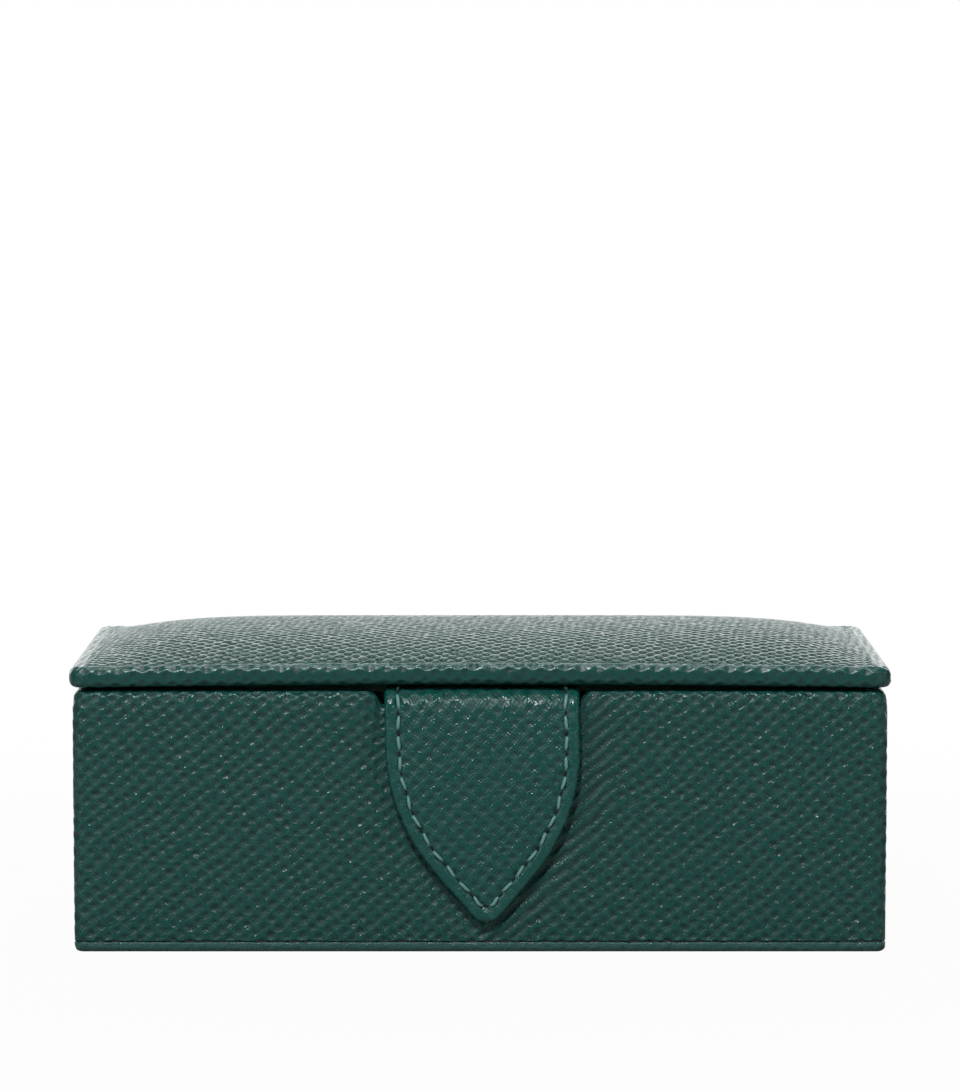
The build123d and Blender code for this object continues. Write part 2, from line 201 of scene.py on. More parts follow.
def tube_faces(rings, sides, start):
    """Faces of a closed tube of rings of points."""
    faces = grid_faces(rings, sides, around=True, start=start)
    faces.append(tuple(range(start + sides - 1, start - 1, -1)))
    faces.append(tuple(range(start + (rings - 1) * sides, start + rings * sides)))
    return faces


def smooth_step(value, low, high):
    """0 below low, 1 above high, and a smooth change between."""
    share = np.clip((value - low) / (high - low), 0, 1)
    return share * share * (3 - 2 * share)


def groove_depth(inside, inset, depth, width):
    """Depth of a soft groove that runs at an inset within an edge, at distances inside that edge."""
    return depth * np.exp(-(((inside - inset) / width) ** 2))


def ring(half_x, half_y, corner, counts, middle=(0.0, 0.0)):
    """Points round a rectangle with rounded corners, anticlockwise, from the right end of its back.

    Gives points, outward directions, the length along the outline and the whole way round."""
    along_x, along_y, in_corner = counts
    corner = max(corner, 0.01)
    flat_x, flat_y = half_x - corner, half_y - corner
    points, outward = [], []
    sides = (
        ((flat_x, half_y), (-flat_x, half_y), (0, 1), along_x, 90),
        ((-half_x, flat_y), (-half_x, -flat_y), (-1, 0), along_y, 180),
        ((-flat_x, -half_y), (flat_x, -half_y), (0, -1), along_x, 270),
        ((half_x, -flat_y), (half_x, flat_y), (1, 0), along_y, 0),
    )
    for first, last, direction, count, angle in sides:
        for share in np.linspace(0, 1, count):
            points.append((first[0] + (last[0] - first[0]) * share, first[1] + (last[1] - first[1]) * share))
            outward.append(direction)
        centre = (last[0] - corner * direction[0], last[1] - corner * direction[1])
        for turn in np.linspace(0, 90, in_corner + 2)[1:-1]:
            way = math.radians(angle + turn)
            outward.append((math.cos(way), math.sin(way)))
            points.append((centre[0] + corner * outward[-1][0], centre[1] + corner * outward[-1][1]))
    points, outward = np.array(points), np.array(outward, float)
    steps = np.linalg.norm(np.diff(points, axis=0, append=points[:1]), axis=1)
    length = np.concatenate([[0], np.cumsum(steps)])
    return points + np.array(middle), outward, length[:-1], length[-1]


def stack(half_x, half_y, corner, profile, counts, middle=(0.0, 0.0), caps=(False, True)):
    """Rings of a rounded rectangle at each (out, height) of a profile: points, flat map, faces, way round."""
    lengths = path_length(profile)
    points, maps = [], []
    full_around, total = ring(half_x, half_y, corner, counts)[2:]
    for (out, height), length in zip(profile, lengths):
        least = min(half_x, half_y) + out
        outline = ring(half_x + out, half_y + out, min(max(corner + out, 0.3), least), counts, middle)[0]
        points.append(np.column_stack([outline, np.full(len(outline), height)]))
        maps.append(np.column_stack([full_around, np.full(len(outline), length)]))
    points, maps = np.array(points), np.array(maps)
    rows, columns = points.shape[:2]
    faces = grid_faces(rows, columns, around=True)
    if caps[0]:
        faces.append(tuple(range(columns - 1, -1, -1)))
    if caps[1]:
        faces.append(tuple(range((rows - 1) * columns, rows * columns)))
    return points.reshape(-1, 3), maps.reshape(-1, 2), faces, total


def arc(centre_out, centre_z, radius, start, end, count):
    """Points of a profile's arc: how far out, and how high. Angles in degrees, 0 straight out, 90 up."""
    turns = np.radians(np.linspace(start, end, count))
    return [(centre_out + radius * math.cos(turn), centre_z + radius * math.sin(turn)) for turn in turns]


def path_length(profile):
    """Length along a profile at each of its points."""
    profile = np.array(profile)
    return np.concatenate([[0], np.cumsum(np.linalg.norm(np.diff(profile, axis=0), axis=1))])


def noise(across, along, size, seed):
    """Smooth waves of about the given size, from -1 to 1."""
    waves = np.random.default_rng(seed)
    total = np.zeros(np.shape(across))
    for _ in range(6):
        way, phase = waves.uniform(0, math.tau, 2)
        length = size * waves.uniform(0.7, 1.5)
        total = total + np.sin((across * math.cos(way) + along * math.sin(way)) * math.tau / length + phase)
    return total / 6


PIT_DEPTH = 0.30  # of a full pit sunk into a mesh
GRAIN_PITCH = 2.0  # between two ridges of one family
GRAIN_ANGLES = (43, 128)  # directions of the normals of the two families of ridges, in degrees


def pits_at(leather_map, stretched=0.0):
    """Pits of the crossed grain, 0 on a ridge to about 1, at places on the leather's flat map.

    Where the leather is stretched, 0 to 1, one family of ridges is pulled flat and the pits run together."""
    across, along = np.asarray(leather_map)[:, 0], np.asarray(leather_map)[:, 1]
    across = across + 0.6 * noise(across, along, 13, 21) + 0.30 * noise(across, along, 4.5, 22)
    along = along + 0.6 * noise(across, along, 13, 23) + 0.30 * noise(across, along, 4.5, 24)
    depth = np.ones(len(across))
    for angle, kept in zip(GRAIN_ANGLES, (1 - stretched, 1.0)):
        way = math.radians(angle)
        turns = (across * math.cos(way) + along * math.sin(way)) * math.pi / GRAIN_PITCH
        depth = depth * (1 - kept * (1 - np.abs(np.sin(turns))))
    strength = 0.80 + 0.30 * noise(across, along, 6, 25) + 0.25 * noise(across, along, 2.6, 26)
    return np.clip(depth ** 1.5 * strength, 0, 1)


# ---- Materials ----

def feed(tree, socket, value):
    """Links a node's input to an output, or sets it to a value."""
    if isinstance(value, bpy.types.NodeSocket):
        tree.links.new(value, socket)
    else:
        socket.default_value = value


def node(tree, kind, **values):
    """New shader node of a kind, with its properties by name and its inputs by in_ and their name."""
    made = tree.nodes.new("ShaderNode" + kind)
    for key, value in values.items():
        if key.startswith("in_"):
            feed(tree, made.inputs[key[3:].replace("_", " ")], value)
        else:
            setattr(made, key, value)
    return made


def join_nodes(tree, kind, *inputs, **properties):
    """New shader node with its inputs given in their order."""
    made = node(tree, kind, **properties)
    for socket, value in zip(made.inputs, inputs):
        feed(tree, socket, value)
    return made


def maths(tree, operation, *values):
    """Math node on sockets or plain numbers; gives its output."""
    return join_nodes(tree, "Math", *values, operation=operation).outputs[0]


def vector_maths(tree, operation, *values):
    """Vector math node on sockets or tuples; gives its vector, or its number where it has one."""
    made = join_nodes(tree, "VectorMath", *values, operation=operation)
    return made.outputs["Value" if operation in ("DOT_PRODUCT", "LENGTH") else "Vector"]


def scaled(tree, value, factor, plus):
    """A socket's value times a factor, plus a number or a socket."""
    return maths(tree, "ADD", maths(tree, "MULTIPLY", value, factor), plus)


def mixed(tree, factor, first, second):
    """Colour mix by a factor socket; colours are sockets or tuples."""
    made = node(tree, "Mix", data_type="RGBA")
    for name, value in (("Factor", factor), ("A", first), ("B", second)):
        socket = next(s for s in made.inputs if s.name == name and s.enabled)
        feed(tree, socket, (*value, 1) if isinstance(value, tuple) else value)
    return next(s for s in made.outputs if s.enabled)


def new_material(name):
    """Empty node material; gives the material, its tree and its Principled shader."""
    material = bpy.data.materials.new(name)
    material.use_nodes = True
    return material, material.node_tree, material.node_tree.nodes["Principled BSDF"]


def flat_noise(tree, place, scale, detail, output="Fac"):
    """Noise over flat coordinates."""
    made = node(
        tree, "TexNoise", noise_dimensions="2D",
        in_Vector=place, in_Scale=scale, in_Detail=detail,
    )
    return made.outputs[output]


def finish_shader(tree, shader, colour, rough, height, strength, distance, **others):
    """Colour, roughness and bump of a shader, and other inputs by their names, with _ for a space."""
    bump = node(tree, "Bump", in_Strength=strength, in_Distance=distance, in_Height=height)
    values = {"Base Color": colour, "Roughness": rough, "Normal": bump.outputs[0], **others}
    for name, value in values.items():
        feed(tree, shader.inputs[name.replace("_", " ")], value)


def attribute(tree, name):
    """Value stored on a piece's points."""
    return node(tree, "Attribute", attribute_name=name).outputs["Fac"]


def box_map(tree):
    """Flat coordinates in millimetres on a CAD node: each face takes the two axes that it lies along."""
    facing = join_nodes(tree, "SeparateXYZ", node(tree, "NewGeometry").outputs["True Normal"])
    parts = join_nodes(tree, "SeparateXYZ", node(tree, "TexCoord").outputs["Object"])
    is_x = maths(tree, "GREATER_THAN", maths(tree, "ABSOLUTE", facing.outputs[0]), 0.7)
    is_z = maths(tree, "GREATER_THAN", maths(tree, "ABSOLUTE", facing.outputs[2]), 0.7)

    def either(switch, first, second):
        """The first value, or the second where the switch is 1."""
        return scaled(tree, maths(tree, "SUBTRACT", second, first), switch, first)

    across = either(is_x, parts.outputs[0], parts.outputs[1])
    up = either(is_z, parts.outputs[2], parts.outputs[1])
    return node(
        tree, "CombineXYZ",
        in_X=maths(tree, "MULTIPLY", across, 1 / METRE), in_Y=maths(tree, "MULTIPLY", up, 1 / METRE),
    ).outputs[0]


def attribute_map(tree):
    """Flat coordinates in millimetres stored on a piece's face corners."""
    return node(tree, "Attribute", attribute_name="leather_map").outputs["Vector"]


RIDGE = (0.006, 0.088, 0.073)
# colour towards which the grain's pits are darkened: painted shade in its hollows
PIT_SHADE = (0.003, 0.013, 0.013)
FINE_LINES = 7.0  # fine lines of the grain to each of its ridges


def grain(tree, place):
    """Crossed ridges with pits between them. Gives the pits' depth, 0 to 1, and the fine lines' height."""
    warp = vector_maths(tree, "SUBTRACT", flat_noise(tree, place, 0.16, 2.0, "Color"), (0.5, 0.5, 0.5))
    pushed = vector_maths(tree, "MULTIPLY_ADD", warp, (2.2, 2.2, 0), place)
    waves, hatch = [], []
    for angle in GRAIN_ANGLES:
        way = math.radians(angle)
        along = vector_maths(tree, "DOT_PRODUCT", pushed, (math.cos(way), math.sin(way), 0))
        turns = maths(tree, "MULTIPLY", along, math.pi / GRAIN_PITCH)
        waves.append(maths(tree, "ABSOLUTE", maths(tree, "SINE", turns)))
        hatch.append(maths(tree, "SINE", maths(tree, "MULTIPLY", turns, FINE_LINES)))
    pits = maths(tree, "POWER", maths(tree, "MULTIPLY", waves[0], waves[1]), 2.6)
    strength = scaled(tree, flat_noise(tree, place, 0.45, 2.0), 1.5, 0.15)
    return maths(tree, "MULTIPLY", pits, strength), maths(tree, "ADD", hatch[0], hatch[1])


def smooth_between(tree, value, low, high, least=0.0):
    """least below low and 1 above high, smooth between."""
    made = node(
        tree, "MapRange", interpolation_type="SMOOTHSTEP",
        in_Value=value, in_From_Min=low, in_From_Max=high, in_To_Min=least,
    )
    return made.outputs[0]


def leather(name, place_of, ridge=RIDGE, pit_shade=PIT_SHADE, depth=1.0, smooth_by=None, rough=0.22, sunk=True,
            hatch=0.007, pebble=0.15, dull_spots=0.24):
    """Cross-grain leather. place_of gives its flat coordinates; smooth_by names what flattens it.

    sunk leather takes its pits from the mesh, which already has them. hatch and pebble are the heights of
    its fine lines and of its small bumps, in millimetres; dull_spots is how much rougher some spots are."""
    material, tree, shader = new_material(name)
    place = place_of(tree)
    pits, lines = grain(tree, place)
    if sunk:
        pits = attribute(tree, "pits")
    if smooth_by:
        kept = maths(tree, "SUBTRACT", 1.0, attribute(tree, smooth_by))
        pits = maths(tree, "MULTIPLY", pits, kept)
        lines = maths(tree, "MULTIPLY", lines, kept)
    # darker colour in the pits, growing with their depth: painted shade in the grain's hollows
    tone = maths(tree, "MULTIPLY", maths(tree, "POWER", pits, 0.7), 0.95)
    shade = maths(tree, "MULTIPLY", flat_noise(tree, place, 0.05, 3.0), 0.5)
    colour = mixed(tree, shade, mixed(tree, tone, ridge, pit_shade), tuple(0.72 * part for part in ridge))
    patches = smooth_between(tree, flat_noise(tree, place, 0.55, 1.0), 0.38, 0.58)
    gloss = scaled(tree, patches, dull_spots, scaled(tree, pits, 0.30, rough))
    height = maths(tree, "MULTIPLY", pits, -0.16 * depth if sunk else -PIT_DEPTH)
    height = scaled(tree, lines, hatch, height)
    height = scaled(tree, flat_noise(tree, place, 1.6, 2.0), pebble, height)
    finish_shader(tree, shader, colour, gloss, height, 1.0, METRE, Specular_IOR_Level=0.5)
    return material


def napped(name, colour, scale=1.0, place_of=box_map):
    """Suede or felt: soft, matt, with brushed patches."""
    material, tree, shader = new_material(name)
    place = place_of(tree)
    nap = flat_noise(tree, place, 6.0 / scale, 4.0)
    patch = flat_noise(tree, place, 0.12 / scale, 3.0)
    tone = scaled(tree, nap, 0.5, maths(tree, "MULTIPLY", patch, 0.6))
    made = mixed(tree, tone, tuple(0.55 * part for part in colour), tuple(1.35 * part for part in colour))
    finish_shader(
        tree, shader, made, 0.92, nap, 0.7, 0.12 * METRE,
        Specular_IOR_Level=0.2, Sheen_Weight=0.35, Sheen_Roughness=0.5,
    )
    return material


def plain(name, colour, second, rough, metal=0.0, scale=1.0, stretch=(1, 1, 1)):
    """Board, wood, steel or thread: two tones of noise, stretched along the grain."""
    material, tree, shader = new_material(name)
    mapping = node(
        tree, "Mapping", in_Vector=node(tree, "TexCoord").outputs["Object"],
        in_Scale=tuple(part / METRE for part in stretch),
    )
    texture = node(tree, "TexNoise", in_Vector=mapping.outputs[0], in_Scale=scale, in_Detail=5.0)
    made = mixed(tree, texture.outputs[0], colour, second)
    finish_shader(tree, shader, made, rough, texture.outputs[0], 0.4, 0.05 * METRE, Metallic=metal)
    return material


SUEDE = (0.030, 0.085, 0.070)
FELT = (0.022, 0.050, 0.044)
body_leather = leather("body_leather", attribute_map)
box_leather = leather("box_leather", box_map, sunk=False)
# the tab's pit colour is painted shade in the grain's hollows too
tab_leather = leather(
    "tab_leather", attribute_map, ridge=(0.006, 0.092, 0.077), pit_shade=(0.003, 0.016, 0.016),
    smooth_by="flattened", depth=0.9, hatch=0.013, pebble=0.12,
)
lid_leather = leather("lid_leather", attribute_map, rough=0.27, hatch=0.003, pebble=0.03, dull_spots=0.05)
# lighter copy of the leather, ridges and pits, for the base's edge: painted reflection of the white floor on it
base_leather_painted_reflection = leather("base_leather_painted_reflection", attribute_map, ridge=(0.036, 0.128, 0.114), pit_shade=(0.010, 0.040, 0.038))
suede = napped("suede", SUEDE)
suede_map = napped("suede_on_pieces", SUEDE, place_of=attribute_map)
felt = napped("felt", FELT, scale=1.6)
napped_felt = napped("felt_on_pieces", FELT, scale=1.6, place_of=attribute_map)
board = plain("board", (0.30, 0.27, 0.22), (0.42, 0.38, 0.32), 0.85, scale=1.5)
wood = plain("wood", (0.42, 0.27, 0.14), (0.62, 0.44, 0.27), 0.55, scale=0.6, stretch=(0.08, 1, 1))
steel = plain("steel", (0.55, 0.55, 0.56), (0.68, 0.68, 0.69), 0.3, metal=1.0, scale=2.0, stretch=(1, 0.1, 1))
foam = plain("foam", (0.66, 0.65, 0.6), (0.8, 0.79, 0.75), 0.9, scale=4.0)
thread = plain("thread", (0.085, 0.23, 0.20), (0.19, 0.38, 0.34), 0.6, scale=4.0)
# near-black beads for the needle holes: painted shade inside them
hole_shade = plain("stitch_hole_painted_shade", (0.004, 0.008, 0.008), (0.008, 0.012, 0.012), 0.9, scale=2.0)

materials = {
    "green_leather": box_leather, "tab_leather": box_leather, "suede": suede, "felt": felt, "foam": foam,
    "board": board, "wood": wood, "steel": steel, "thread": thread,
}
for part in frame["record"]["subparts"]:
    cad = frame["nodes"][part["node"]]
    cad.data.materials.clear()
    cad.data.materials.append(materials[part["material_slot"]])


# ---- Outline of the closing tab, for its own form and for the hollow behind it ----

TAB_HALF = tab_high[0]
TAB_TIP = tab_low[2]
TAB_POINT, TAB_SHOULDER = TAB_TIP - 2.0, TAB_TIP + 19.15  # where the slanted sides would meet, and end
TAB_SIDE_RADIUS, TAB_TIP_RADIUS = 36.0, 3.6
TAB_ANGLE = math.atan2(TAB_HALF, TAB_SHOULDER - TAB_POINT)


def tab_half_width(height):
    """Half the tab's width at a height: upright sides, an arc, a slanted side and a round tip."""
    height = np.asarray(height, float)
    tip_centre = TAB_POINT + TAB_TIP_RADIUS / math.sin(TAB_ANGLE)
    tip_end = tip_centre - TAB_TIP_RADIUS * math.sin(TAB_ANGLE)
    side_top = TAB_SHOULDER + TAB_SIDE_RADIUS * math.tan(TAB_ANGLE / 2)
    side_end = side_top - TAB_SIDE_RADIUS * math.sin(TAB_ANGLE)
    tip = np.sqrt(np.clip(TAB_TIP_RADIUS ** 2 - (tip_centre - height) ** 2, 0, None))
    slant = (height - TAB_POINT) * math.tan(TAB_ANGLE)
    side = TAB_HALF - TAB_SIDE_RADIUS + np.sqrt(
        np.clip(TAB_SIDE_RADIUS ** 2 - np.clip(side_top - height, 0, None) ** 2, 0, None)
    )
    return np.where(height < tip_end, tip, np.where(height < side_end, slant, side))


outline_heights = TAB_TIP + (LID_BOTTOM + 8 - TAB_TIP) * np.linspace(0, 1, 400) ** 1.6
OUTLINE = np.concatenate([
    np.stack([-tab_half_width(outline_heights)[::-1], outline_heights[::-1]], 1),
    np.stack([tab_half_width(outline_heights), outline_heights], 1),
])


def distance_outside_tab(across, height):
    """Distance from points to the tab's outline, negative inside it."""
    shape = across.shape
    flat = np.stack([across.ravel(), height.ravel()], 1)
    distance = np.empty(len(flat))
    batch = 4000
    for start in range(0, len(flat), batch):
        apart = flat[start:start + batch, None, :] - OUTLINE[None, :, :]
        distance[start:start + batch] = np.sqrt((apart ** 2).sum(2).min(1))
    inside = (np.abs(flat[:, 0]) < tab_half_width(flat[:, 1])) & (flat[:, 1] > TAB_TIP)
    return np.where(inside, -distance, distance).reshape(shape)


# ---- Body: leather over the walls, turned over their top and into the notch ----

BODY_COUNTS = (330, 205, 7)  # points along a long side, along a short side and in a corner
BODY_CORNER = 2.0
WALL = BODY_X - wall_high[0] + 0.8  # from the leather's outside to the room inside
ROLL = 1.2  # of the leather over the walls' top edge
TAPER = 0.25  # how far the walls lean in at their foot
LEAN, LEAN_HEIGHT = 0.45, 4.5  # how far the leather leans in below the walls' top, and over what height
NOTCH_HALF, NOTCH_SHOULDER, NOTCH_DEPTH = TAB_HALF + 0.55, 2.0, 2.6
NOTCH_START = 38.0  # height from which the leather sinks towards the notch
HOLLOW_LEFT, HOLLOW_RIGHT = 4.0, 5.5  # how far the hollow behind the tab reaches past it
HOLLOW_LOW, HOLLOW_HIGH = 0.32, 0.60  # its depth near the tab's tip and near its top
CREASE_WAVES, CREASE_DEPTH = 3.9, 0.07  # of the creases beside the tab
CREASE_FADE = (3.5, 9.5)  # distances from the tab between which they die out
WINDOW_GAP = 0.3  # between the drawer's front and the leather of its window
WINDOW_HALF = front_high[1] + WINDOW_GAP
WINDOW_TOP = front_high[2] + WINDOW_GAP
WINDOW_ROLL = 0.6  # of the leather round the window's edge


def body_profile():
    """The walls' leather in section, from its lower edge to inside the walls' top, as (out, height).

    Gives also the number of its point above the drawer's window."""
    window_edge = WINDOW_TOP + WINDOW_ROLL
    profile = [(-1.4, BASE_TOP + 0.05), (-0.3, BASE_TOP + 0.02)]
    profile += arc(-0.35, BASE_TOP + 0.37, 0.35, -80, 0, 4)
    profile += [(0, height) for height in np.linspace(BASE_TOP + 0.45, window_edge, 42)]
    window_row = len(profile) - 1
    profile += [(0, height) for height in np.linspace(window_edge, BODY_TOP - ROLL, 60)[1:]]
    profile += arc(-ROLL, BODY_TOP - ROLL, ROLL, 0, 90, 8)[1:]
    profile += [(-2.4, BODY_TOP + 0.02), (-WALL + 0.6, BODY_TOP - 0.02)]
    profile += arc(-WALL + 0.5, BODY_TOP - 0.55, 0.5, 90, 180, 5)
    profile += [(-WALL, wall_high[2] + 0.02), (-WALL + 0.7, wall_high[2] + 0.02)]
    return profile, window_row


def notch_sink(outline, height):
    """How far the leather is lowered at the places of one ring, to make the tab's notch in the front."""
    shoulder = np.clip((np.abs(outline[:, 0]) - NOTCH_HALF) / NOTCH_SHOULDER, 0, 1)
    sink = 1 - np.sqrt(np.clip(1 - (1 - shoulder) ** 2, 0, 1))
    share = np.clip((height - NOTCH_START) / (BODY_TOP - NOTCH_START), 0, 1)
    return np.where(outline[:, 1] < 0, sink, 0) * NOTCH_DEPTH * share


def press_front(points):
    """Presses the hollow behind the tab and the creases on its right into the front's points.

    Gives how stretched the leather is at each point."""
    x, z = points[:, :, 0], points[:, :, 2]
    front = points[:, :, 1] < -BODY_Y + 2
    apart = distance_outside_tab(x, z)
    hollow = 1 - smooth_step(apart, 0.4, np.where(x > 0, HOLLOW_RIGHT, HOLLOW_LEFT))
    hollow = hollow * smooth_step(z, TAB_TIP - 4, TAB_TIP + 4)
    depth = HOLLOW_LOW + (HOLLOW_HIGH - HOLLOW_LOW) * smooth_step(z, 18, 42)
    creases = np.sin((x * 0.8 - z * 0.55) * CREASE_WAVES + 2.5 * noise(x, z, 14, 5))
    beside = smooth_step(apart, 0.3, 1.5) * (1 - smooth_step(apart, *CREASE_FADE)) * (x > 0)
    points[:, :, 1] += np.where(front, depth * hollow + CREASE_DEPTH * creases * beside, 0)
    return np.where(front, np.maximum(beside, hollow * 0.3), 0).ravel()


def open_window(points, maps, window_row, on_right):
    """Leaves the drawer's window out of the right-hand end, and rolls the leather in round it.

    Gives flat lists of points and map places, with the roll's own at their end, and the faces."""
    rows, columns = points.shape[:2]
    edge = WINDOW_HALF + WINDOW_ROLL
    inner = np.where(on_right & (np.abs(points[0, :, 1]) < edge))[0]
    first, last = inner[0], inner[-1]
    points[:window_row + 1, first, 1] = -edge
    points[:window_row + 1, last, 1] = edge
    faces = [
        face for face in grid_faces(rows, columns, around=True)
        if not (face[0] // columns < window_row and first <= face[0] % columns < last
                and first < face[1] % columns <= last)
    ]
    points, maps = points.reshape(-1, 3), maps.reshape(-1, 2)
    border = [row * columns + first for row in range(window_row)]
    border += [window_row * columns + column for column in range(first, last + 1)]
    border += [row * columns + last for row in range(window_row - 1, -1, -1)]
    sideways = np.where(np.abs(np.abs(points[border, 1]) - edge) < 0.01, -np.sign(points[border, 1]), 0)
    downward = np.where(np.array(border) // columns == window_row, -1, 0)
    way = np.column_stack([sideways, downward])
    steps = [(WINDOW_ROLL * math.sin(math.radians(turn)), WINDOW_ROLL * (1 - math.cos(math.radians(turn))))
             for turn in (25, 50, 70, 90)]
    steps += [(WINDOW_ROLL, 2.0), (WINDOW_ROLL, WALL)]
    previous = border
    for into, deep in steps:
        current = range(len(points), len(points) + len(border))
        rolled = points[border] + np.column_stack([np.full(len(border), -deep), way * into])
        points = np.concatenate([points, rolled])
        maps = np.concatenate([maps, maps[border] + way * (into + deep)])
        faces += [(previous[number], previous[number + 1], current[number + 1], current[number])
                  for number in range(len(border) - 1)]
        previous = current
    return points, maps, faces


def make_body():
    """The walls' leather as one skin, with the tab's notch and hollow and the drawer's window."""
    profile, window_row = body_profile()
    points, maps = [], []
    _, outward, full_around, total = ring(BODY_X, BODY_Y, BODY_CORNER, BODY_COUNTS)
    on_right = outward[:, 0] > 0.99
    for (out, height), length in zip(profile, path_length(profile)):
        inward = TAPER * (1 - height / BODY_TOP)
        if out > -ROLL - 0.01:
            inward += LEAN * max(0, (height - BODY_TOP + LEAN_HEIGHT) / LEAN_HEIGHT) ** 2
        outline, outward, _, _ = ring(
            BODY_X + out - inward, BODY_Y + out - inward, BODY_CORNER + out, BODY_COUNTS
        )
        uneven = 0.05 * noise(full_around, height, 26, 3) * (abs(out) < 0.1)
        heights = height - notch_sink(outline, height)
        points.append(np.column_stack([outline + outward * uneven[:, None], heights]))
        maps.append(np.column_stack([full_around, np.full(len(outline), length)]))
    points, maps = np.array(points), np.array(maps)
    stretched = press_front(points)
    points, maps, faces = open_window(points, maps, window_row, on_right)
    stretched = np.concatenate([stretched, np.zeros(len(points) - len(stretched))])
    # points inside the window carry no faces
    faces = np.array(faces)
    used = np.zeros(len(points), bool)
    used[faces] = True
    faces = (np.cumsum(used) - 1)[faces]
    points, maps, stretched = points[used], maps[used], stretched[used]
    pits = pits_at(maps, stretched) * (1 - 0.15 * stretched)
    pits = pits * (1 - 0.5 * smooth_step(points[:, 2], BODY_TOP - 0.4, BODY_TOP))
    return make_piece("body_leather_cover", points, faces, body_leather, maps, total, pits)


dress(make_body(), "root", "green_leather", "body_cover")


# ---- Lid: leather over the padded crown, with a rolled rim ----

LID_COUNTS = (330, 205, 11)
LID_CORNER = 3.0
TOP_RELIEF, RIM_RELIEF = 1.6, 0.75  # depth of the grain's pits on top and rim, set against the body's
RIM_ROUND, RIM_UNDER = 1.5, 1.3  # rounding of the rim's upper and lower edge
CROWN = 4.9  # height of the lid's swelling
CROWN_POWER_X, CROWN_POWER_Y = 6.5, 2.4  # flat-topped across the lid, domed from front to back
CROWN_MARGIN = 2.0
GROOVE, GROOVE_INSET, GROOVE_WIDTH = 0.16, 2.1, 0.45  # where the leather is pressed down inside the rim
BOW = 0.75  # rise of the front edge's middle


def crown_height(across, along):
    """Height of the lid's swelling above its rim."""
    u = np.abs(across) / (LID_X - CROWN_MARGIN)
    v = np.abs(along - LID_MIDDLE_Y) / (LID_Y - CROWN_MARGIN)
    rise = np.clip(1 - u ** CROWN_POWER_X, 0, 1) * np.clip(1 - v ** CROWN_POWER_Y, 0, 1)
    return CROWN * rise


def lid_bow(across, along):
    """Rise of the lid near its front edge, most in the middle, fading towards the back."""
    middle = np.clip(1 - (across / LID_X) ** 2, 0, 1)
    return BOW * middle * (1 - smooth_step(along, lid_low[1] + 2, lid_low[1] + 42))


def fill_ring(ring_points, counts, start):
    """Even grid of points inside a ring, and the grid of indices that joins them to the ring's own points.

    The grid's corners lie in the middle of the ring's round corners. start is the first new point's index."""
    along_x, along_y, in_corner = counts
    half = in_corner // 2
    back_left = along_x + half
    front_left = back_left + in_corner + along_y
    front_right = front_left + in_corner + along_x
    back_right = front_right + in_corner + along_y
    total = len(ring_points)
    front = np.arange(front_left, front_right + 1)
    right = np.arange(front_right, back_right + 1)
    back = (np.arange(back_right, total + back_left + 1) % total)[::-1]
    left = np.arange(back_left, front_left + 1)[::-1]
    u = np.linspace(0, 1, len(front))[None, :, None]
    v = np.linspace(0, 1, len(right))[:, None, None]
    side = ring_points[:, :2]
    inside = (1 - v) * side[front][None] + v * side[back][None]
    inside = inside + (1 - u) * side[left][:, None] + u * side[right][:, None]
    inside = inside - (1 - u) * (1 - v) * side[front[0]] - u * (1 - v) * side[front[-1]]
    inside = inside - (1 - u) * v * side[back[0]] - u * v * side[back[-1]]
    rows, columns = len(right), len(front)
    indices = np.empty((rows, columns), int)
    indices[1:-1, 1:-1] = start + np.arange((rows - 2) * (columns - 2)).reshape(rows - 2, columns - 2)
    indices[0], indices[-1], indices[:, 0], indices[:, -1] = front, back, left, right
    return inside[1:-1, 1:-1].reshape(-1, 2), indices


def lid_height(across, along, inset):
    """Height of the lid's top at a place, and at its distance inside the lid's edge."""
    groove = groove_depth(inset, GROOVE_INSET, GROOVE, GROOVE_WIDTH)
    uneven = 0.03 * noise(across, along, 30, 8) * smooth_step(inset, 3, 12)
    return LID_TOP + crown_height(across, along) - groove + uneven


def lid_ring(out, corner):
    """Ring of the lid's outline, moved out, with its outward directions."""
    return ring(LID_X + out, LID_Y + out, corner, LID_COUNTS, (0, LID_MIDDLE_Y))[:2]


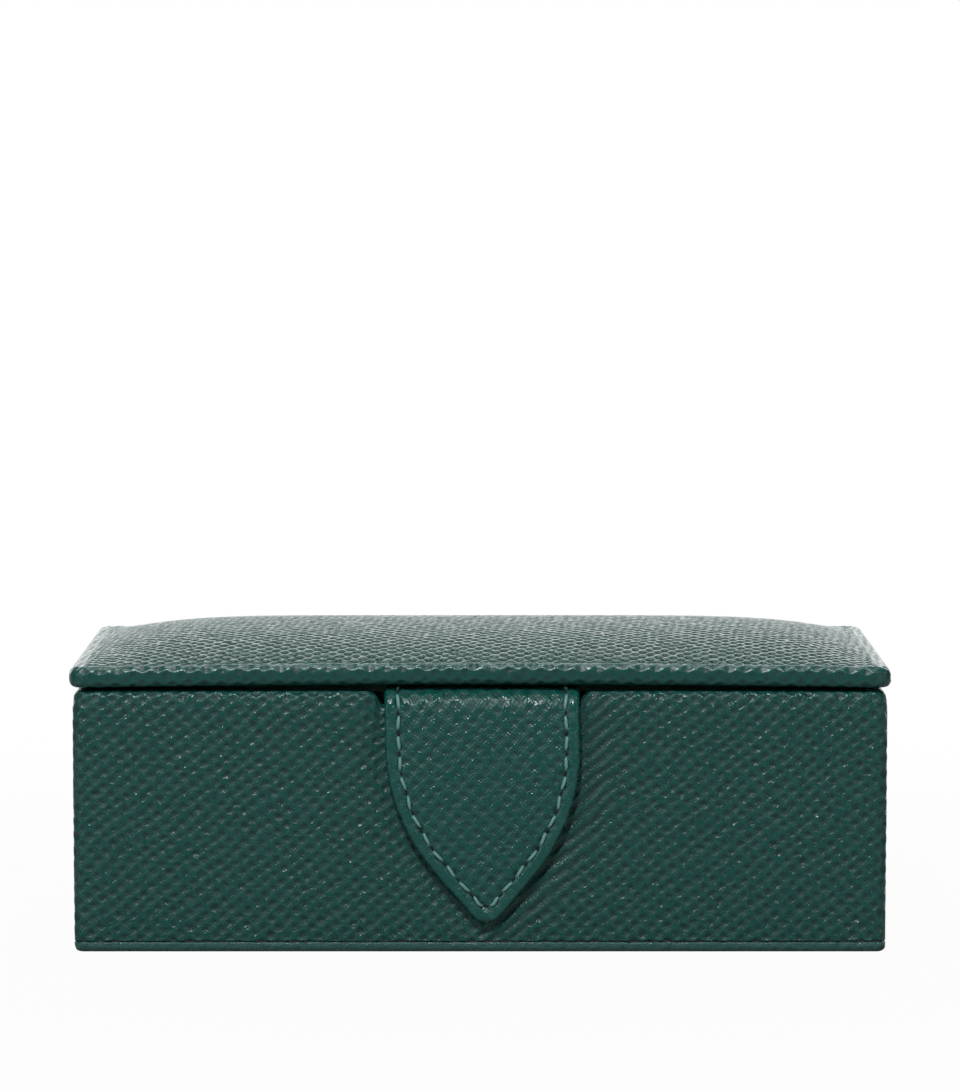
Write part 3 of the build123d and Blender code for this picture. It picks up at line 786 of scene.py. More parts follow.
def make_lid():
    """The lid's leather as one skin: its turned-in border underneath, its rim and its top."""
    profile = [(-5.6, LID_BOTTOM + 0.5), (-5.3, LID_BOTTOM + 0.02), (-3.0, LID_BOTTOM)]
    profile += arc(-RIM_UNDER, LID_BOTTOM + RIM_UNDER, RIM_UNDER, -90, 0, 9)
    profile += arc(-RIM_ROUND, LID_TOP - RIM_ROUND, RIM_ROUND, 0, 90, 11)
    rim_rows = len(profile)
    profile += [(-step, LID_TOP) for step in np.linspace(RIM_ROUND, 3.4, 7)[1:]]
    lengths = path_length(profile)
    top_start = lengths[rim_rows - 1]
    top_edge = lid_ring(-RIM_ROUND, LID_CORNER - RIM_ROUND)[0]
    points, maps = [], []
    for row, ((out, height), length) in enumerate(zip(profile, lengths)):
        on_top = row >= rim_rows
        corner = LID_CORNER + max(out, -RIM_ROUND) + 0.12 * max(0, -out - RIM_ROUND)
        outline, outward = lid_ring(out, corner)
        heights = lid_height(outline[:, 0], outline[:, 1], -out) if on_top else height
        # pleats of the leather gathered round the corners
        in_corner = np.minimum(np.abs(outward[:, 0]), np.abs(outward[:, 1])) > 0.05
        turn = np.arctan2(outward[:, 1], outward[:, 0])
        pleat = 0.10 * np.abs(np.sin(turn * 4 + 0.3)) * in_corner * (out > -RIM_ROUND - 0.1)
        outline = outline - outward * pleat[:, None]
        level_inside = smooth_step(out, -4.6, -1.3) if length < top_start / 2 else 1
        heights = heights + lid_bow(outline[:, 0], outline[:, 1]) * level_inside
        points.append(np.column_stack([outline, heights]))
        maps.append(outline if on_top else top_edge + outward * (top_start - length))
    rows, columns = len(points), len(points[0])
    faces = grid_faces(rows, columns, around=True)
    faces.append(tuple(range(columns - 1, -1, -1)))
    plan, indices = fill_ring(points[-1], LID_COUNTS, columns)
    faces += quads(indices + (rows - 1) * columns)
    inset = np.minimum(LID_X - np.abs(plan[:, 0]), LID_Y - np.abs(plan[:, 1] - LID_MIDDLE_Y))
    heights = lid_height(plan[:, 0], plan[:, 1], inset) + lid_bow(plan[:, 0], plan[:, 1])
    points = np.concatenate([*points, np.column_stack([plan, heights])])
    maps = np.concatenate([*maps, plan])
    on_rim = np.where(lengths > top_start * 1.1, TOP_RELIEF, RIM_RELIEF) * (lengths > top_start * 0.35)
    strength = np.concatenate([np.repeat(on_rim, columns), np.full(len(plan), TOP_RELIEF)])
    return make_piece("lid_leather_cover", points, faces, lid_leather, maps, relief=pits_at(maps) * strength)


LEATHER_THICK = 1.0


def make_foam():
    """Foam under the lid's leather, domed as the leather is."""
    low, _, half, centre = extent("lid_pad")
    top = LID_TOP - LEATHER_THICK - TOP_RELIEF * PIT_DEPTH
    profile = [(-2.5, low[2]), (-2.0, low[2]), (-2.0, top - 0.2), (-2.2, top)]
    profile += [(-step, top) for step in np.linspace(2.5, half[1] - 0.4, 60)]
    points, _, faces, _ = stack(half[0], half[1], 3.0, profile, (90, 60, 6), centre[:2], caps=(True, True))
    upper = points[:, 2] > top - 0.01
    points[upper, 2] += crown_height(points[upper, 0], points[upper, 1])
    return make_piece("lid_foam", points, faces, foam)


lid_piece = make_lid()
dress(lid_piece, "lid", "green_leather", "lid_cover")

foam_piece = make_foam()
dress(foam_piece, "lid", "foam", "lid_pad")


# ---- Closing tab ----

def follow_path(path, at, off):
    """Points at a length along a path in the YZ plane, and off it along its normal (outside of the bend)."""
    lengths = path_length(path)
    path = np.array(path)
    step = 0.05
    (y, z), (y_after, z_after), (y_before, z_before) = [
        [np.interp(at + shift, lengths, path[:, axis]) for axis in (0, 1)] for shift in (0, step, -step)
    ]
    dy, dz = y_after - y_before, z_after - z_before
    size = np.hypot(dy, dz) + 1e-9
    return y + off * dz / size, z - off * dy / size


TAB_THICK = 2.0
TAB_EDGE = 0.65  # width over which its turned edge thins out
TAB_BEND = 2.9  # radius of its bend
TAB_MID_Y = (tab_low[1] + tab_back_high[1]) / 2 + 0.5
TAB_ASKEW, TAB_ASKEW_TIP = 0.35, 0.85  # how far to the right it hangs at its bend, and its tip beyond that
ROOT_MID_Z = LID_BOTTOM - 1.15
STITCH_INSET, STITCH_START = 2.5, 9.0  # inside the tab's outline, and along it from its root's end
GROOVE_HEIGHT = TAB_THICK / 2 - 0.16  # of the stitched groove's floor over the tab's middle


def tab_path():
    """Middle line of the tab's thickness: forward under the lid, round the bend, down the front."""
    centre_y, centre_z = TAB_MID_Y + TAB_BEND, ROOT_MID_Z - TAB_BEND
    path = [(root_high[1], ROOT_MID_Z + 0.3), (-42.0, ROOT_MID_Z + 0.25), (-43.4, ROOT_MID_Z)]
    for turn in np.radians(np.linspace(90, 180, 19)):
        path.append((centre_y + TAB_BEND * math.cos(turn), centre_z + TAB_BEND * math.sin(turn)))
    bend_end = len(path) - 1
    for share in np.linspace(0, 1, 40)[1:]:
        z = centre_z + (TAB_TIP - centre_z) * share
        belly = 0.8 * (1 - math.exp(-5 * share)) - 0.45 * share
        path.append((TAB_MID_Y - belly, z))
    lengths = path_length(path)
    return path, lengths[-1], lengths[bend_end]


TAB_PATH, TAB_LENGTH, TAB_BEND_END = tab_path()


def tab_height_at(at):
    """Height that a length along the tab stands for on its flat outline."""
    return TAB_TIP + (TAB_LENGTH - at)


def tab_surface(at, across, off):
    """Points of the tab: at a length along it, across its width, and off its middle line."""
    y, z = follow_path(TAB_PATH, at, off)
    hang = np.clip((at - TAB_BEND_END) / (TAB_LENGTH - TAB_BEND_END), 0, 1)
    return np.stack([across + TAB_ASKEW + TAB_ASKEW_TIP * hang, y, z], -1)


def rounded_edge(inside, width):
    """Share of the full thickness at a depth inside an edge that is rounded over a width."""
    return np.sqrt(np.clip(1 - (1 - np.clip(inside / width, 0, 1)) ** 2, 0, 1))


def make_tab():
    """The tab as one closed leather strip with turned edges and a stitched groove."""
    at = TAB_LENGTH * (1 - (1 - np.linspace(0, 1, 170)) ** 1.2)
    at[-1] = TAB_LENGTH - 0.001
    share = np.sin(np.linspace(-1, 1, 105) * math.pi / 2)
    across = tab_half_width(tab_height_at(at))[:, None] * share[None, :]
    lengths = np.repeat(at[:, None], len(share), 1)
    inside = -distance_outside_tab(across, tab_height_at(lengths))
    inside = np.where(np.abs(share)[None, :] > 0.9999, 0, inside)
    half_thick = TAB_THICK / 2 * rounded_edge(inside, TAB_EDGE)
    groove = groove_depth(inside, STITCH_INSET, depth=0.28, width=0.42) * (inside > 0.9)
    border = groove_depth(inside, 1.2, depth=0.04, width=0.7) * np.clip(inside / TAB_EDGE, 0, 1)
    pillow = 0.12 * smooth_step(inside, STITCH_INSET + 0.3, STITCH_INSET + 5)
    wave = 0.05 * noise(across, lengths, 12, 11) * smooth_step(inside, 0.5, 3)
    front = tab_surface(lengths, across, half_thick - groove + border + pillow + wave)
    back = tab_surface(lengths, across, -half_thick)
    points = np.concatenate([front.reshape(-1, 3), back.reshape(-1, 3)])
    plan = np.stack([-across, -lengths], -1).reshape(-1, 2)
    maps = np.concatenate([plan, plan + 40])
    flattened = 0.55 * (1 - smooth_step(inside, 1.0, STITCH_INSET + 0.4))
    flattened = np.concatenate([flattened.ravel(), np.full(len(plan), 0.6)]).astype(np.float32)
    return make_piece(
        "tab_leather_strip", points, strip_faces(*across.shape), tab_leather, maps,
        relief=pits_at(maps) * (1 - flattened) * 0.75, flattened=flattened,
    )


def stitch_line():
    """Stitched line on the tab's flat outline, from its top left round the tip to its top right."""
    lowest = TAB_TIP + STITCH_INSET + 0.9
    heights = lowest + (TAB_LENGTH - STITCH_INSET - 1.0) * np.linspace(0, 1, 500) ** 1.5
    grid_x = np.linspace(0, TAB_HALF, 360)
    line = []
    for height in heights[heights < tab_height_at(STITCH_START)]:
        inside = -distance_outside_tab(grid_x, np.full(len(grid_x), height))
        beyond = np.where(inside >= STITCH_INSET)[0]
        if len(beyond):
            line.append((grid_x[beyond[-1]], height))
    line = np.array(line)
    tip = np.array([[0, line[0, 1] - 0.3]])
    left = line[::-1] * np.array([-1, 1])
    return np.concatenate([left, tip, line])


def place_on_line(line, lengths, at):
    """Place at a length along a line, and the line's direction there."""
    here, after, before = [
        np.array([np.interp(at + shift, lengths, line[:, axis]) for axis in (0, 1)])
        for shift in (0, 0.2, -0.2)
    ]
    way = after - before
    return here, way / (np.linalg.norm(way) + 1e-9)


def make_stitches(name, line, pitch, length, thickness, place):
    """Thread stitches along a line: each a short bowed strand whose ends dip into the leather.

    Gives also how many there are."""
    lengths = path_length(line)
    count = int(lengths[-1] / pitch)
    points, faces = [], []
    sides, rings = 10, 9
    for number in range(count):
        middle = lengths[-1] * (number + 0.5) / count
        tilt = 0.14 * thickness * (1 if number % 2 else -1) + rng.uniform(-0.05, 0.05) * thickness
        faces += tube_faces(rings, sides, len(points))
        for share in np.linspace(-1, 1, rings):
            (x, y), way = place_on_line(line, lengths, middle + share * length / 2)
            rise = thickness * (0.30 - 0.9 * abs(share) ** 4)
            thick = thickness / 2 * (1 - 0.45 * abs(share) ** 3)
            for turn in np.linspace(0, math.tau, sides, endpoint=False):
                aside = thick * math.cos(turn) * 1.15 + tilt * share * 2
                points.append(place(x - way[1] * aside, y + way[0] * aside, rise + thick * math.sin(turn)))
    return make_piece(name, np.array(points), faces, thread), count


def make_hole_shade(name, line, count, place):
    """Painted shade of the needle holes between the stitches: small flat dark beads sunk in the groove."""
    lengths = path_length(line)
    points, faces = [], []
    sides, half_length, half_width = 10, 0.62, 0.36
    levels = ((0.72, -0.12), (0.55, 0.0), (0.2, 0.05))  # share of the bead's full size, and height
    for number in range(1, count):
        middle, way = place_on_line(line, lengths, lengths[-1] * number / count)
        side = np.array([-way[1], way[0]])
        faces += tube_faces(len(levels), sides, len(points))
        for size, off in levels:
            for turn in np.linspace(0, math.tau, sides, endpoint=False):
                spot = middle + way * half_length * size * math.cos(turn)
                spot = spot + side * half_width * size * math.sin(turn)
                points.append(place(spot[0], spot[1], off))
    return make_piece(name, np.array(points), faces, hole_shade)


def on_tab(x, height, off):
    """Point on the tab's stitched groove, by its place on the flat outline."""
    at = TAB_LENGTH - (height - TAB_TIP)
    return tab_surface(np.array(at), np.array(x), np.array(GROOVE_HEIGHT + off))


tab_piece = make_tab()
tab_line = stitch_line()
stitch_piece, stitch_count = make_stitches(
    "tab_stitches", tab_line, pitch=3.6, length=2.7, thickness=0.56, place=on_tab
)
hole_shade_piece = make_hole_shade("tab_stitch_holes", tab_line, stitch_count, on_tab)
bend_start = (0, tab_pivot[1] + 3.0, tab_pivot[2] + 0.6)
bend_end = (0, tab_pivot[1] - 0.2, tab_pivot[2] - 3.0)
for piece, slot, nodes in (
    (tab_piece, "tab_leather", ("tab_leather", "tab_lining", "tab_root")),
    (stitch_piece, "thread", ("tab_stitching",)),
    (hole_shade_piece, "thread", ()),
):
    dress_bent(piece, ("lid", "tab"), bend_start, bend_end, slot, *nodes)


# ---- Leather of the base plate, and the felt under it ----

BASE_COUNTS = (120, 80, 7)
BASE_RELIEF = 0.5  # depth of the grain's pits on its edge, set against the body's


def make_base():
    """Leather wrapped round the base plate's edge and turned in underneath."""
    half = (base_high - base_low) / 2
    profile = [(-13.5, 0.35), (-13.0, 0.05), (-8.0, 0.0), (-3.0, 0.0)]
    profile += arc(-1.2, 1.2, 1.2, -90, 0, 8)
    profile += arc(-0.25, BASE_TOP - 0.3, 0.25, 0, 90, 4)
    profile += [(-1.5, BASE_TOP - 0.05), (-5.0, BASE_TOP - 0.05)]
    points, maps, faces, total = stack(
        half[0], half[1], BODY_CORNER, profile, BASE_COUNTS, caps=(False, False)
    )
    relief = pits_at(maps) * BASE_RELIEF * np.clip(points[:, 2] / 0.6, 0, 1)
    return make_piece("base_leather_edge", points, faces, base_leather_painted_reflection, maps, total, relief)


def make_pad(name, node_name, profile_of, corner, material, counts=(60, 40, 6), wave=0.0, middle_rings=14):
    """Soft-edged pad over a CAD node's outline. profile_of takes its bottom and top."""
    low, high, half, centre = extent(node_name)
    profile = profile_of(low[2], high[2])
    out, height = profile[-1]
    profile += [(-step, height) for step in np.linspace(-out, min(half[:2]) - 0.4, middle_rings)[1:]]
    points, _, faces, _ = stack(half[0], half[1], corner, profile, counts, centre[:2])
    inner = np.repeat(np.arange(len(profile)) >= len(profile) - middle_rings, len(points) // len(profile))
    points[:, 2] += wave * noise(points[:, 0], points[:, 1], 22, 31) * inner
    return make_piece(name, points, faces, material, points[:, :2] + 0.3 * points[:, 2:3])


def felt_profile(low, high):
    """Rounded lower edge of the felt and its flat face, which looks down."""
    return [(-0.6, high), (0, high)] + arc(-0.35, low + 0.35, 0.35, 0, -90, 5)


dress(make_base(), "root", "green_leather", "base_cover")
felt_piece = make_pad(
    "underside_felt_pad", "underside_felt", felt_profile, corner=4.0, material=napped_felt, middle_rings=20
)
dress(felt_piece, "root", "felt", "underside_felt")


# ---- Suede inside: lid pad, wall lining, floor of the tray, dividers ----

def lid_pad_profile(low, high):
    """Sides of the lid's lining pad and its crowned face, which looks down."""
    crown = 0.35
    side = [(0, high), (0, low + 1.3)]
    face = arc(-1.0, low + crown + 1.0, 1.0, 0, -90, 8)
    return side + face + [(-1.0 - step, low + crown * math.exp(-step / 9)) for step in (2, 4, 7, 11, 16, 22)]


lid_lining_piece = make_pad(
    "lid_lining_pad", "lid_lining", lid_pad_profile,
    corner=2.0, material=suede_map, counts=(90, 60, 8), wave=0.04,
)
dress(lid_lining_piece, "lid", "suede", "lid_lining")

BOARD_INSET, BOARD_LIFT, BOARD_STEP = 1.3, 0.4, 3.0


def board_profile(low, high):
    """The lid's board keeps clear of the leather where the lid's edge bows up."""
    foot = -BOARD_INSET - BOARD_STEP
    return [(foot, low), (foot, low + BOARD_LIFT), (-BOARD_INSET, low + BOARD_LIFT), (-BOARD_INSET, high)]


lid_board_piece = make_pad(
    "lid_board_shaped", "lid_board", board_profile, corner=3.0, material=board, middle_rings=3
)
dress(lid_board_piece, "lid", "board", "lid_board")


def make_wall_lining():
    """Suede round the inside of the walls, softly rounded in the corners and over its top."""
    half = (wall_high - wall_low) / 2
    thick, roll = 0.8, 0.4
    profile = [(0, wall_low[2])]
    profile += [(-thick, height) for height in np.linspace(wall_low[2], wall_high[2] - roll, 12)]
    profile += arc(-roll, wall_high[2] - roll, roll, 180, 90, 4)
    profile += [(0, wall_high[2])]
    points, maps, faces, total = stack(half[0], half[1], 1.6, profile, (60, 40, 6), caps=(False, False))
    return make_piece("wall_lining_suede", points, turned(faces), suede_map, maps, total)


dress(make_wall_lining(), "root", "suede", "wall_lining")

TRAY_DIVIDERS = [f"long_divider_{number}" for number in (1, 2)]
TRAY_DIVIDERS += [f"cross_divider_{number}" for number in (1, 2, 3, 4)]
DRAWER_DIVIDERS = [f"drawer_divider_{number}" for number in (1, 2)]


def make_divider(node_name, body):
    """Padded partition of suede with a rounded top edge and slightly swollen sides."""
    low, high, half_size, centre = extent(node_name)
    along_x = half_size[0] > half_size[1]
    half_length, half = (half_size[0], half_size[1]) if along_x else (half_size[1], half_size[0])
    swell, rows, steps = 0.12, 60, 9
    heights = np.linspace(low[2] + 0.5, high[2] - half, steps + 1)[1:]
    section = [(-half + swell, low[2]), (-half + swell, low[2] + 0.5)]
    for share, height in zip(np.linspace(0, 0.9, steps), heights):
        section.append((-half + swell * (1 - math.sin(math.pi * share)), height))
    mirrored = [(-across, height) for across, height in reversed(section)]
    section = np.array(section + arc(0, high[2] - half, half, 165, 15, 9) + mirrored)
    stations = np.linspace(-half_length, half_length, rows)
    unevenness = 0.05 * noise(stations, np.zeros(rows) + centre[0] + centre[1], 18, 41)
    girth = path_length(section)
    points, maps = [], []
    for station, uneven in zip(stations, unevenness):
        across = section[:, 0] * (1 + uneven)
        height = section[:, 1] - 0.06 * abs(uneven) * (section[:, 1] > high[2] - 1)
        along = np.full(len(section), station)
        x, y = (along, across) if along_x else (across, along)
        points.append(np.column_stack([centre[0] + x, centre[1] + y, height]))
        maps.append(np.column_stack([along, girth]))
    columns = len(section)
    faces = grid_faces(rows, columns)
    faces.append(tuple(range(columns)))
    faces.append(tuple(range(rows * columns - 1, (rows - 1) * columns - 1, -1)))
    piece = make_piece(node_name + "_suede", np.concatenate(points), faces, suede_map, np.concatenate(maps))
    dress(piece, body, "suede", node_name)


for name in TRAY_DIVIDERS:
    make_divider(name, "root")
for name in DRAWER_DIVIDERS:
    make_divider(name, "drawer")


def make_floor_lining():
    """Suede on the tray's shelf, tucked down a little where it meets walls and dividers."""
    low, high = limits("shelf_lining")
    rows, columns = 150, 240
    grid_x, grid_y = np.meshgrid(np.linspace(low[0], high[0], columns), np.linspace(low[1], high[1], rows))
    nearest = np.minimum.reduce([high[0] - grid_x, grid_x - low[0], high[1] - grid_y, grid_y - low[1]])
    for name in TRAY_DIVIDERS:
        side_low, side_high = limits(name)
        gap_x = np.maximum(side_low[0] - grid_x, grid_x - side_high[0])
        gap_y = np.maximum(side_low[1] - grid_y, grid_y - side_high[1])
        nearest = np.minimum(nearest, np.maximum(gap_x, gap_y))
    height = high[2] - 0.3 * np.exp(-np.clip(nearest, 0, None) / 0.9)
    height = height + 0.05 * noise(grid_x, grid_y, 9, 51) * smooth_step(nearest, 0.5, 3)
    points = np.stack([grid_x, grid_y, height], -1).reshape(-1, 3)
    return make_piece("tray_floor_suede", points, grid_faces(rows, columns), suede_map, points[:, :2])


def bay_profile(low, high):
    """Rounded upper edge of the drawer bay's floor lining."""
    return [(0, low), (0, high - 0.25)] + arc(-0.25, high - 0.25, 0.25, 0, 90, 4)


dress(make_floor_lining(), "root", "suede", "shelf_lining")
bay_piece = make_pad(
    "bay_floor_suede", "bay_floor_lining", bay_profile, corner=1.0, material=suede_map
)
dress(bay_piece, "root", "suede", "bay_floor_lining")


# ---- Leather hinge at the back, and the strip inside it ----

def make_strip(name, path, half_width, thickness, material, rows, columns, grained):
    """Flat closed strip along a path in the YZ plane, with rounded long edges."""
    across, lengths = np.meshgrid(
        half_width * np.linspace(-1, 1, columns), np.linspace(0, path_length(path)[-1], rows)
    )
    off = thickness / 2 * rounded_edge(half_width - np.abs(across), thickness * 0.6)
    sides = []
    for sign in (1, -1):
        y, z = follow_path(path, lengths, sign * off)
        sides.append(np.stack([across, y, z], -1).reshape(-1, 3))
    maps = np.stack([across, lengths], -1).reshape(-1, 2)
    relief = None
    if grained:
        relief = pits_at(maps) * np.clip(off.ravel() * 2 / thickness, 0, 1)
        relief = np.concatenate([relief, relief * 0])
    return make_piece(
        name, np.concatenate(sides), strip_faces(rows, columns, sides=False), material,
        np.concatenate([maps, maps]), relief=relief,
    )


SPINE_MIDDLE = (spine_low[1] + spine_high[1]) / 2
spine_path = [
    (SPINE_MIDDLE - TAPER * (1 - z / BODY_TOP), z) for z in np.linspace(spine_low[2] + 0.1, 46.8, 30)
]
spine_path += [(SPINE_MIDDLE + 0.03, z) for z in np.linspace(47.1, 48.5, 8)]
spine_path += [(SPINE_MIDDLE - 0.10, 48.9), (SPINE_MIDDLE - 0.35, 49.3), (SPINE_MIDDLE - 0.8, 49.7)]
spine_piece = make_strip(
    "spine_leather_strip", spine_path, spine_high[0], spine_high[1] - spine_low[1], body_leather,
    rows=112, columns=330, grained=True,
)
dress_bent(
    spine_piece, ("root", "lid"), (0, hinge[1], hinge[2] - 1.3), (0, hinge[1], hinge[2] + 1.0),
    "green_leather", "spine_cover", "spine_fold",
)

inner_low, inner_high = limits("inner_hinge")
INNER_MIDDLE = (inner_low[2] + inner_high[2]) / 2
INNER_THICK = 0.42
inner_path = [(y, INNER_MIDDLE) for y in np.linspace(inner_low[1] + 0.1, inner_high[1] - 0.2, 12)]
inner_piece = make_strip(
    "inner_hinge_suede", inner_path, inner_high[0], INNER_THICK, suede_map,
    rows=24, columns=81, grained=False,
)
dress_bent(
    inner_piece, ("root", "lid"), (0, inner_low[1] + 1.0, hinge[2]), (0, hinge[1], hinge[2]),
    "suede", "inner_hinge",
)


# ---- Drawer: leather front, suede inside, leather pull ----

FRONT_ROLL = 0.9


def make_drawer_front():
    """Leather over the drawer's front board, rounded at its edges and slightly full."""
    _, _, half, centre = extent("drawer_front_cover")
    profile = [(-2.0, front_low[0] + 0.1), (-0.1, front_low[0] + 0.1), (0, front_low[0] + 0.4)]
    profile += [(0, x) for x in np.linspace(front_low[0] + 0.8, front_high[0] - FRONT_ROLL, 7)]
    profile += arc(-FRONT_ROLL, front_high[0] - FRONT_ROLL, FRONT_ROLL, 0, 90, 7)[1:]
    profile += [(-step, front_high[0]) for step in np.linspace(FRONT_ROLL, half[2] - 0.1, 20)[1:]]
    points, _, faces, _ = stack(half[1], half[2], 1.2, profile, (170, 34, 5), centre[1:])
    across, up, out = points.T
    depth = np.minimum(half[1] - np.abs(across - centre[1]), half[2] - np.abs(up - centre[2]))
    face = smooth_step(out, front_high[0] - 0.3, front_high[0] - 0.1)
    out = out - TAPER * (1 - up / BODY_TOP) + 0.04 * face * noise(across, up, 20, 61)
    maps = np.column_stack([across, up + np.clip(front_high[0] - out, 0, None)])
    placed = np.column_stack([out, across, up])
    fade = smooth_step(depth, -0.1, 0.4) * smooth_step(out, front_low[0] + 1, front_low[0] + 2)
    return make_piece(
        "drawer_front_leather", placed, faces, body_leather, maps, relief=pits_at(maps) * fade
    )


dress(make_drawer_front(), "drawer", "green_leather", "drawer_front_cover")


def make_drawer_lining():
    """Suede tray inside the drawer: walls, rounded inner corners and a floor."""
    low, high, half, centre = extent("drawer_lining")
    thick = 0.6
    profile = [(0, low[2]), (0, high[2] - 0.2)]
    profile += arc(-thick / 2, high[2] - thick / 2, thick / 2, 0, 180, 7)
    profile += [(-thick, height) for height in np.linspace(high[2] - 0.6, low[2] + thick + 1.2, 8)]
    profile += arc(-thick - 1.0, low[2] + thick + 1.0, 1.0, 180, 270, 6)
    profile += [(-step, low[2] + thick) for step in np.linspace(thick + 2, half[1] - 0.4, 14)]
    points, maps, faces, total = stack(half[0], half[1], 1.6, profile, (70, 40, 6), centre[:2])
    return make_piece("drawer_lining_suede", points, faces, suede_map, maps, total)


dress(make_drawer_lining(), "drawer", "suede", "drawer_lining")

PULL_CORNER = 7.0
PULL_EDGE = 0.55  # width over which its edge thins out
PULL_HALF = pull_high[1]
PULL_MIDDLE = (pull_low[0] + pull_high[0]) / 2
PULL_TIP, PULL_TOP = pull_low[2], pull_root_high[2]
PULL_THICK = pull_high[0] - pull_low[0]
PULL_STITCH_INSET = 1.5


def pull_half_width(height):
    """Half the pull's width at a height: straight sides and a broad rounded end."""
    drop = np.clip(PULL_TIP + PULL_CORNER - height, 0, PULL_CORNER)
    return PULL_HALF - PULL_CORNER + np.sqrt(PULL_CORNER ** 2 - drop ** 2)


def make_pull():
    """The pull as one leather strip, sewn to the drawer at its top and free below."""
    rows, columns = 60, 61
    heights = PULL_TIP + (PULL_TOP - PULL_TIP) * np.linspace(0, 1, rows) ** 1.3
    half_widths = pull_half_width(heights)[:, None]
    across = half_widths * np.sin(np.linspace(-1, 1, columns) * math.pi / 2)[None, :]
    height = np.repeat(heights[:, None], columns, 1)
    from_corner = PULL_CORNER - np.hypot(
        np.clip(np.abs(across) - PULL_HALF + PULL_CORNER, 0, None),
        np.clip(PULL_TIP + PULL_CORNER - height, 0, None),
    )
    inside = np.minimum.reduce(
        [half_widths - np.abs(across), from_corner, height - PULL_TIP, PULL_TOP - height]
    )
    thick = PULL_THICK / 2 * rounded_edge(inside, PULL_EDGE)
    groove = groove_depth(inside, PULL_STITCH_INSET, depth=0.12, width=0.35) * (inside > 0.9 * PULL_EDGE)
    outer = np.stack([PULL_MIDDLE + thick - groove, across, height], -1).reshape(-1, 3)
    inner = np.stack([PULL_MIDDLE - thick, across, height], -1).reshape(-1, 3)
    flat = outer[:, 1:]
    maps = np.concatenate([flat, flat + 30])
    flattened = np.concatenate([(1 - smooth_step(inside, 0.8, 2.0)).ravel(), np.full(len(flat), 0.6)])
    return make_piece(
        "drawer_pull_strip", np.concatenate([outer, inner]),
        strip_faces(rows, columns, turn_outer=False, ends=False), tab_leather, maps,
        relief=pits_at(maps) * (1 - flattened) * 0.6, flattened=flattened,
    )


def on_pull(across, height, off):
    """Point on the pull's face."""
    return np.array([PULL_MIDDLE + PULL_THICK / 2 - 0.05 + off, across, height])


def pull_stitch_line():
    """Stitched line round the part of the pull that is sewn down."""
    low, top = pull_pivot[2] + 1.6, PULL_TOP - 1.3
    side = PULL_HALF - PULL_STITCH_INSET
    return np.array([(-side, top), (side, top), (side, low), (-side, low), (-side, top - 0.01)])


pull_piece = make_pull()
pull_thread, _ = make_stitches(
    "pull_stitches", pull_stitch_line(), pitch=2.6, length=2.0, thickness=0.42, place=on_pull
)
pull_start = (pull_pivot[0], 0, pull_pivot[2] + 0.7)
pull_end = (pull_pivot[0], 0, pull_pivot[2] - 0.9)
dress_bent(pull_piece, ("drawer", "pull"), pull_start, pull_end, "green_leather", "drawer_pull", "pull_root")
dress_bent(pull_thread, ("drawer", "pull"), pull_start, pull_end, "thread", "pull_stitching")


# ---- Edges of the boards that show when the drawer or the lid is open ----

for name in ("drawer_floor", "drawer_side_front", "drawer_side_back", "drawer_end", "drawer_front_board",
             "drawer_guide_front", "drawer_guide_back", "drawer_stop_strip"):
    softened = frame["nodes"][name].modifiers.new("eased_edges", "BEVEL")
    softened.width = 0.25 * METRE
    softened.segments = 2
    softened.limit_method = "ANGLE"


# ---- Stage, light and camera ----

def stage_material(name, colour, camera_strength):
    """Floor that shows white to the camera away from the object, and takes its shadow near it."""
    material, tree, shader = new_material(name)
    for input_name, value in (("Base Color", (*colour, 1)), ("Roughness", 0.9), ("Specular IOR Level", 0.1)):
        feed(tree, shader.inputs[input_name], value)
    away = vector_maths(tree, "LENGTH", node(tree, "TexCoord").outputs["Object"])
    fade = smooth_between(tree, away, low=0.12, high=0.40, least=camera_strength)
    seen = node(tree, "LightPath").outputs["Is Camera Ray"]
    glow = node(tree, "Emission", in_Color=(1, 1, 1, 1), in_Strength=1.0)
    clear = node(tree, "BsdfTransparent")
    below = node(tree, "NewGeometry").outputs["Backfacing"]
    whitened = maths(tree, "MULTIPLY", seen, fade)
    above = join_nodes(tree, "MixShader", whitened, shader.outputs[0], glow.outputs[0])
    surface = join_nodes(tree, "MixShader", below, above.outputs[0], clear.outputs[0])
    feed(tree, tree.nodes["Material Output"].inputs["Surface"], surface.outputs[0])
    return material


FLOOR_HALF, FLOOR_Z = 4000, -0.03
floor_corners = [(-1, -1), (1, -1), (1, 1), (-1, 1)]
floor = make_piece(
    "floor", [(x * FLOOR_HALF, y * FLOOR_HALF, FLOOR_Z) for x, y in floor_corners], [(0, 1, 2, 3)],
    stage_material("floor_white", colour=(0.35, 0.35, 0.35), camera_strength=0.96),
)

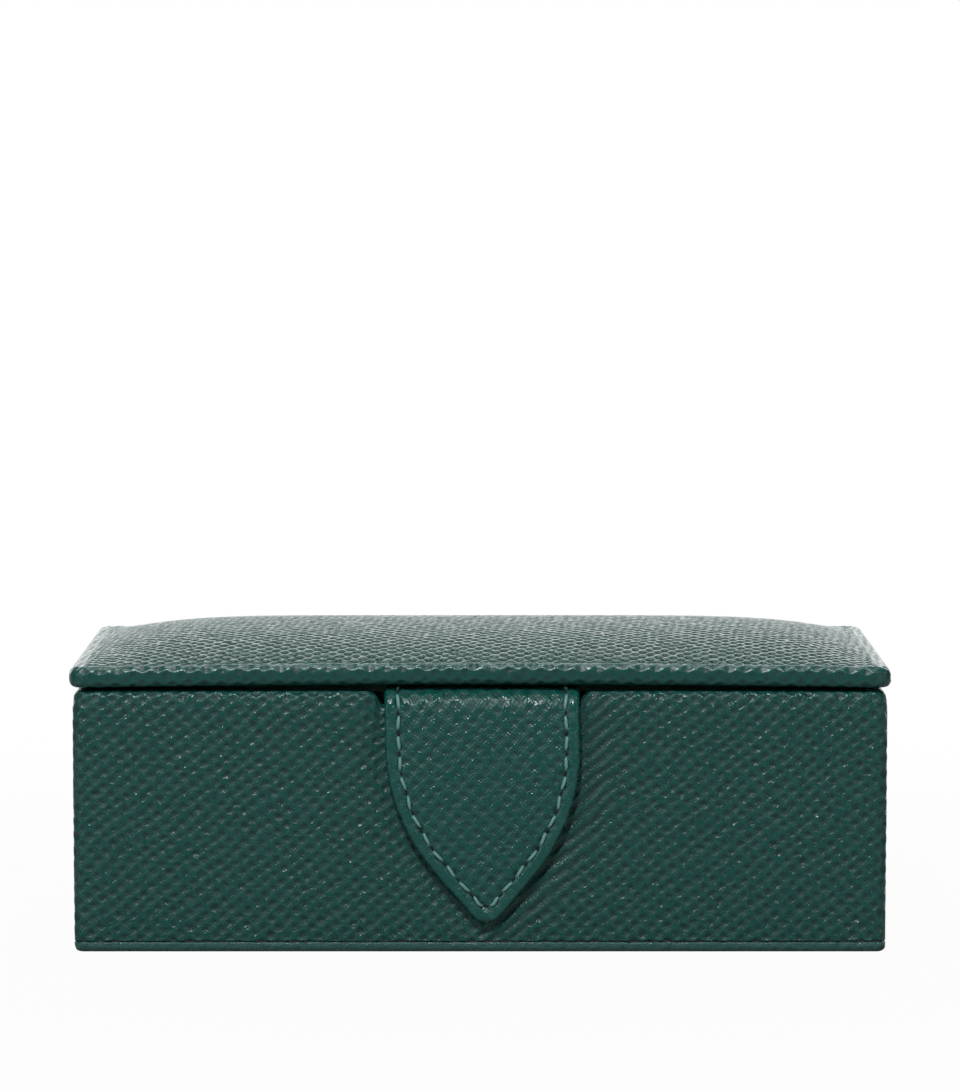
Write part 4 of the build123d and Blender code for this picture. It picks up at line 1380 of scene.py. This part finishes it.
world = bpy.data.worlds.new("studio")
bpy.context.scene.world = world
world.use_nodes = True
tree = world.node_tree
background = tree.nodes["Background"]
path = node(tree, "LightPath")
background.inputs["Color"].default_value = (1, 1, 1, 1)
seen = maths(tree, "MAXIMUM", path.outputs["Is Camera Ray"], path.outputs["Is Transmission Ray"])
fill_strength = 0.05
tree.links.new(scaled(tree, seen, 1 - fill_strength, fill_strength), background.inputs["Strength"])


def area_light(name, place, aim, size, power):
    """Soft rectangular lamp, aimed at a point. Millimetres and watts."""
    place, aim = Vector(place), Vector(aim)
    lamp = bpy.data.lights.new(name, "AREA")
    lamp.shape = "RECTANGLE"
    lamp.size, lamp.size_y = size[0] * METRE, size[1] * METRE
    lamp.energy = power
    holder = bpy.data.objects.new(name, lamp)
    bpy.context.scene.collection.objects.link(holder)
    holder.location = place * METRE
    holder.rotation_euler = (aim - place).to_track_quat("-Z", "Y").to_euler()


middle = (0, 0, 30)
for name, place, size, power in (
    ("overhead", (0, 60, 800), (300, 200), 2.2),
    ("key", (-120, -700, 800), (150, 100), 6.5),
    ("front_left", (-900, -900, 350), (200, 300), 1.8),
    ("front_right", (900, -800, 350), (200, 300), 1.3),
    ("back", (0, 700, 260), (1500, 500), 6.0),
):
    area_light(name, place, middle, size, power)

CAMERA_DISTANCE = 1154  # in front of the lid's front edge
CAMERA_HEIGHT = 153.8
CAMERA_PITCH = 3.93  # degrees below level
FOCAL_PIXELS = 6366
PHOTO_LONG_SIDE = 1091
SENSOR = 36.0
camera_data = bpy.data.cameras.new("camera")
camera_data.sensor_fit = "AUTO"
camera_data.sensor_width = SENSOR
camera_data.lens = SENSOR * FOCAL_PIXELS / PHOTO_LONG_SIDE
camera_data.clip_end = 50
camera = bpy.data.objects.new("camera", camera_data)
bpy.context.scene.collection.objects.link(camera)
camera.location = (0, (lid_low[1] - CAMERA_DISTANCE) * METRE, CAMERA_HEIGHT * METRE)
camera.rotation_euler = (math.radians(90 - CAMERA_PITCH), 0, 0)
bpy.context.scene.camera = camera
bpy.context.scene.view_settings.view_transform = "Standard"
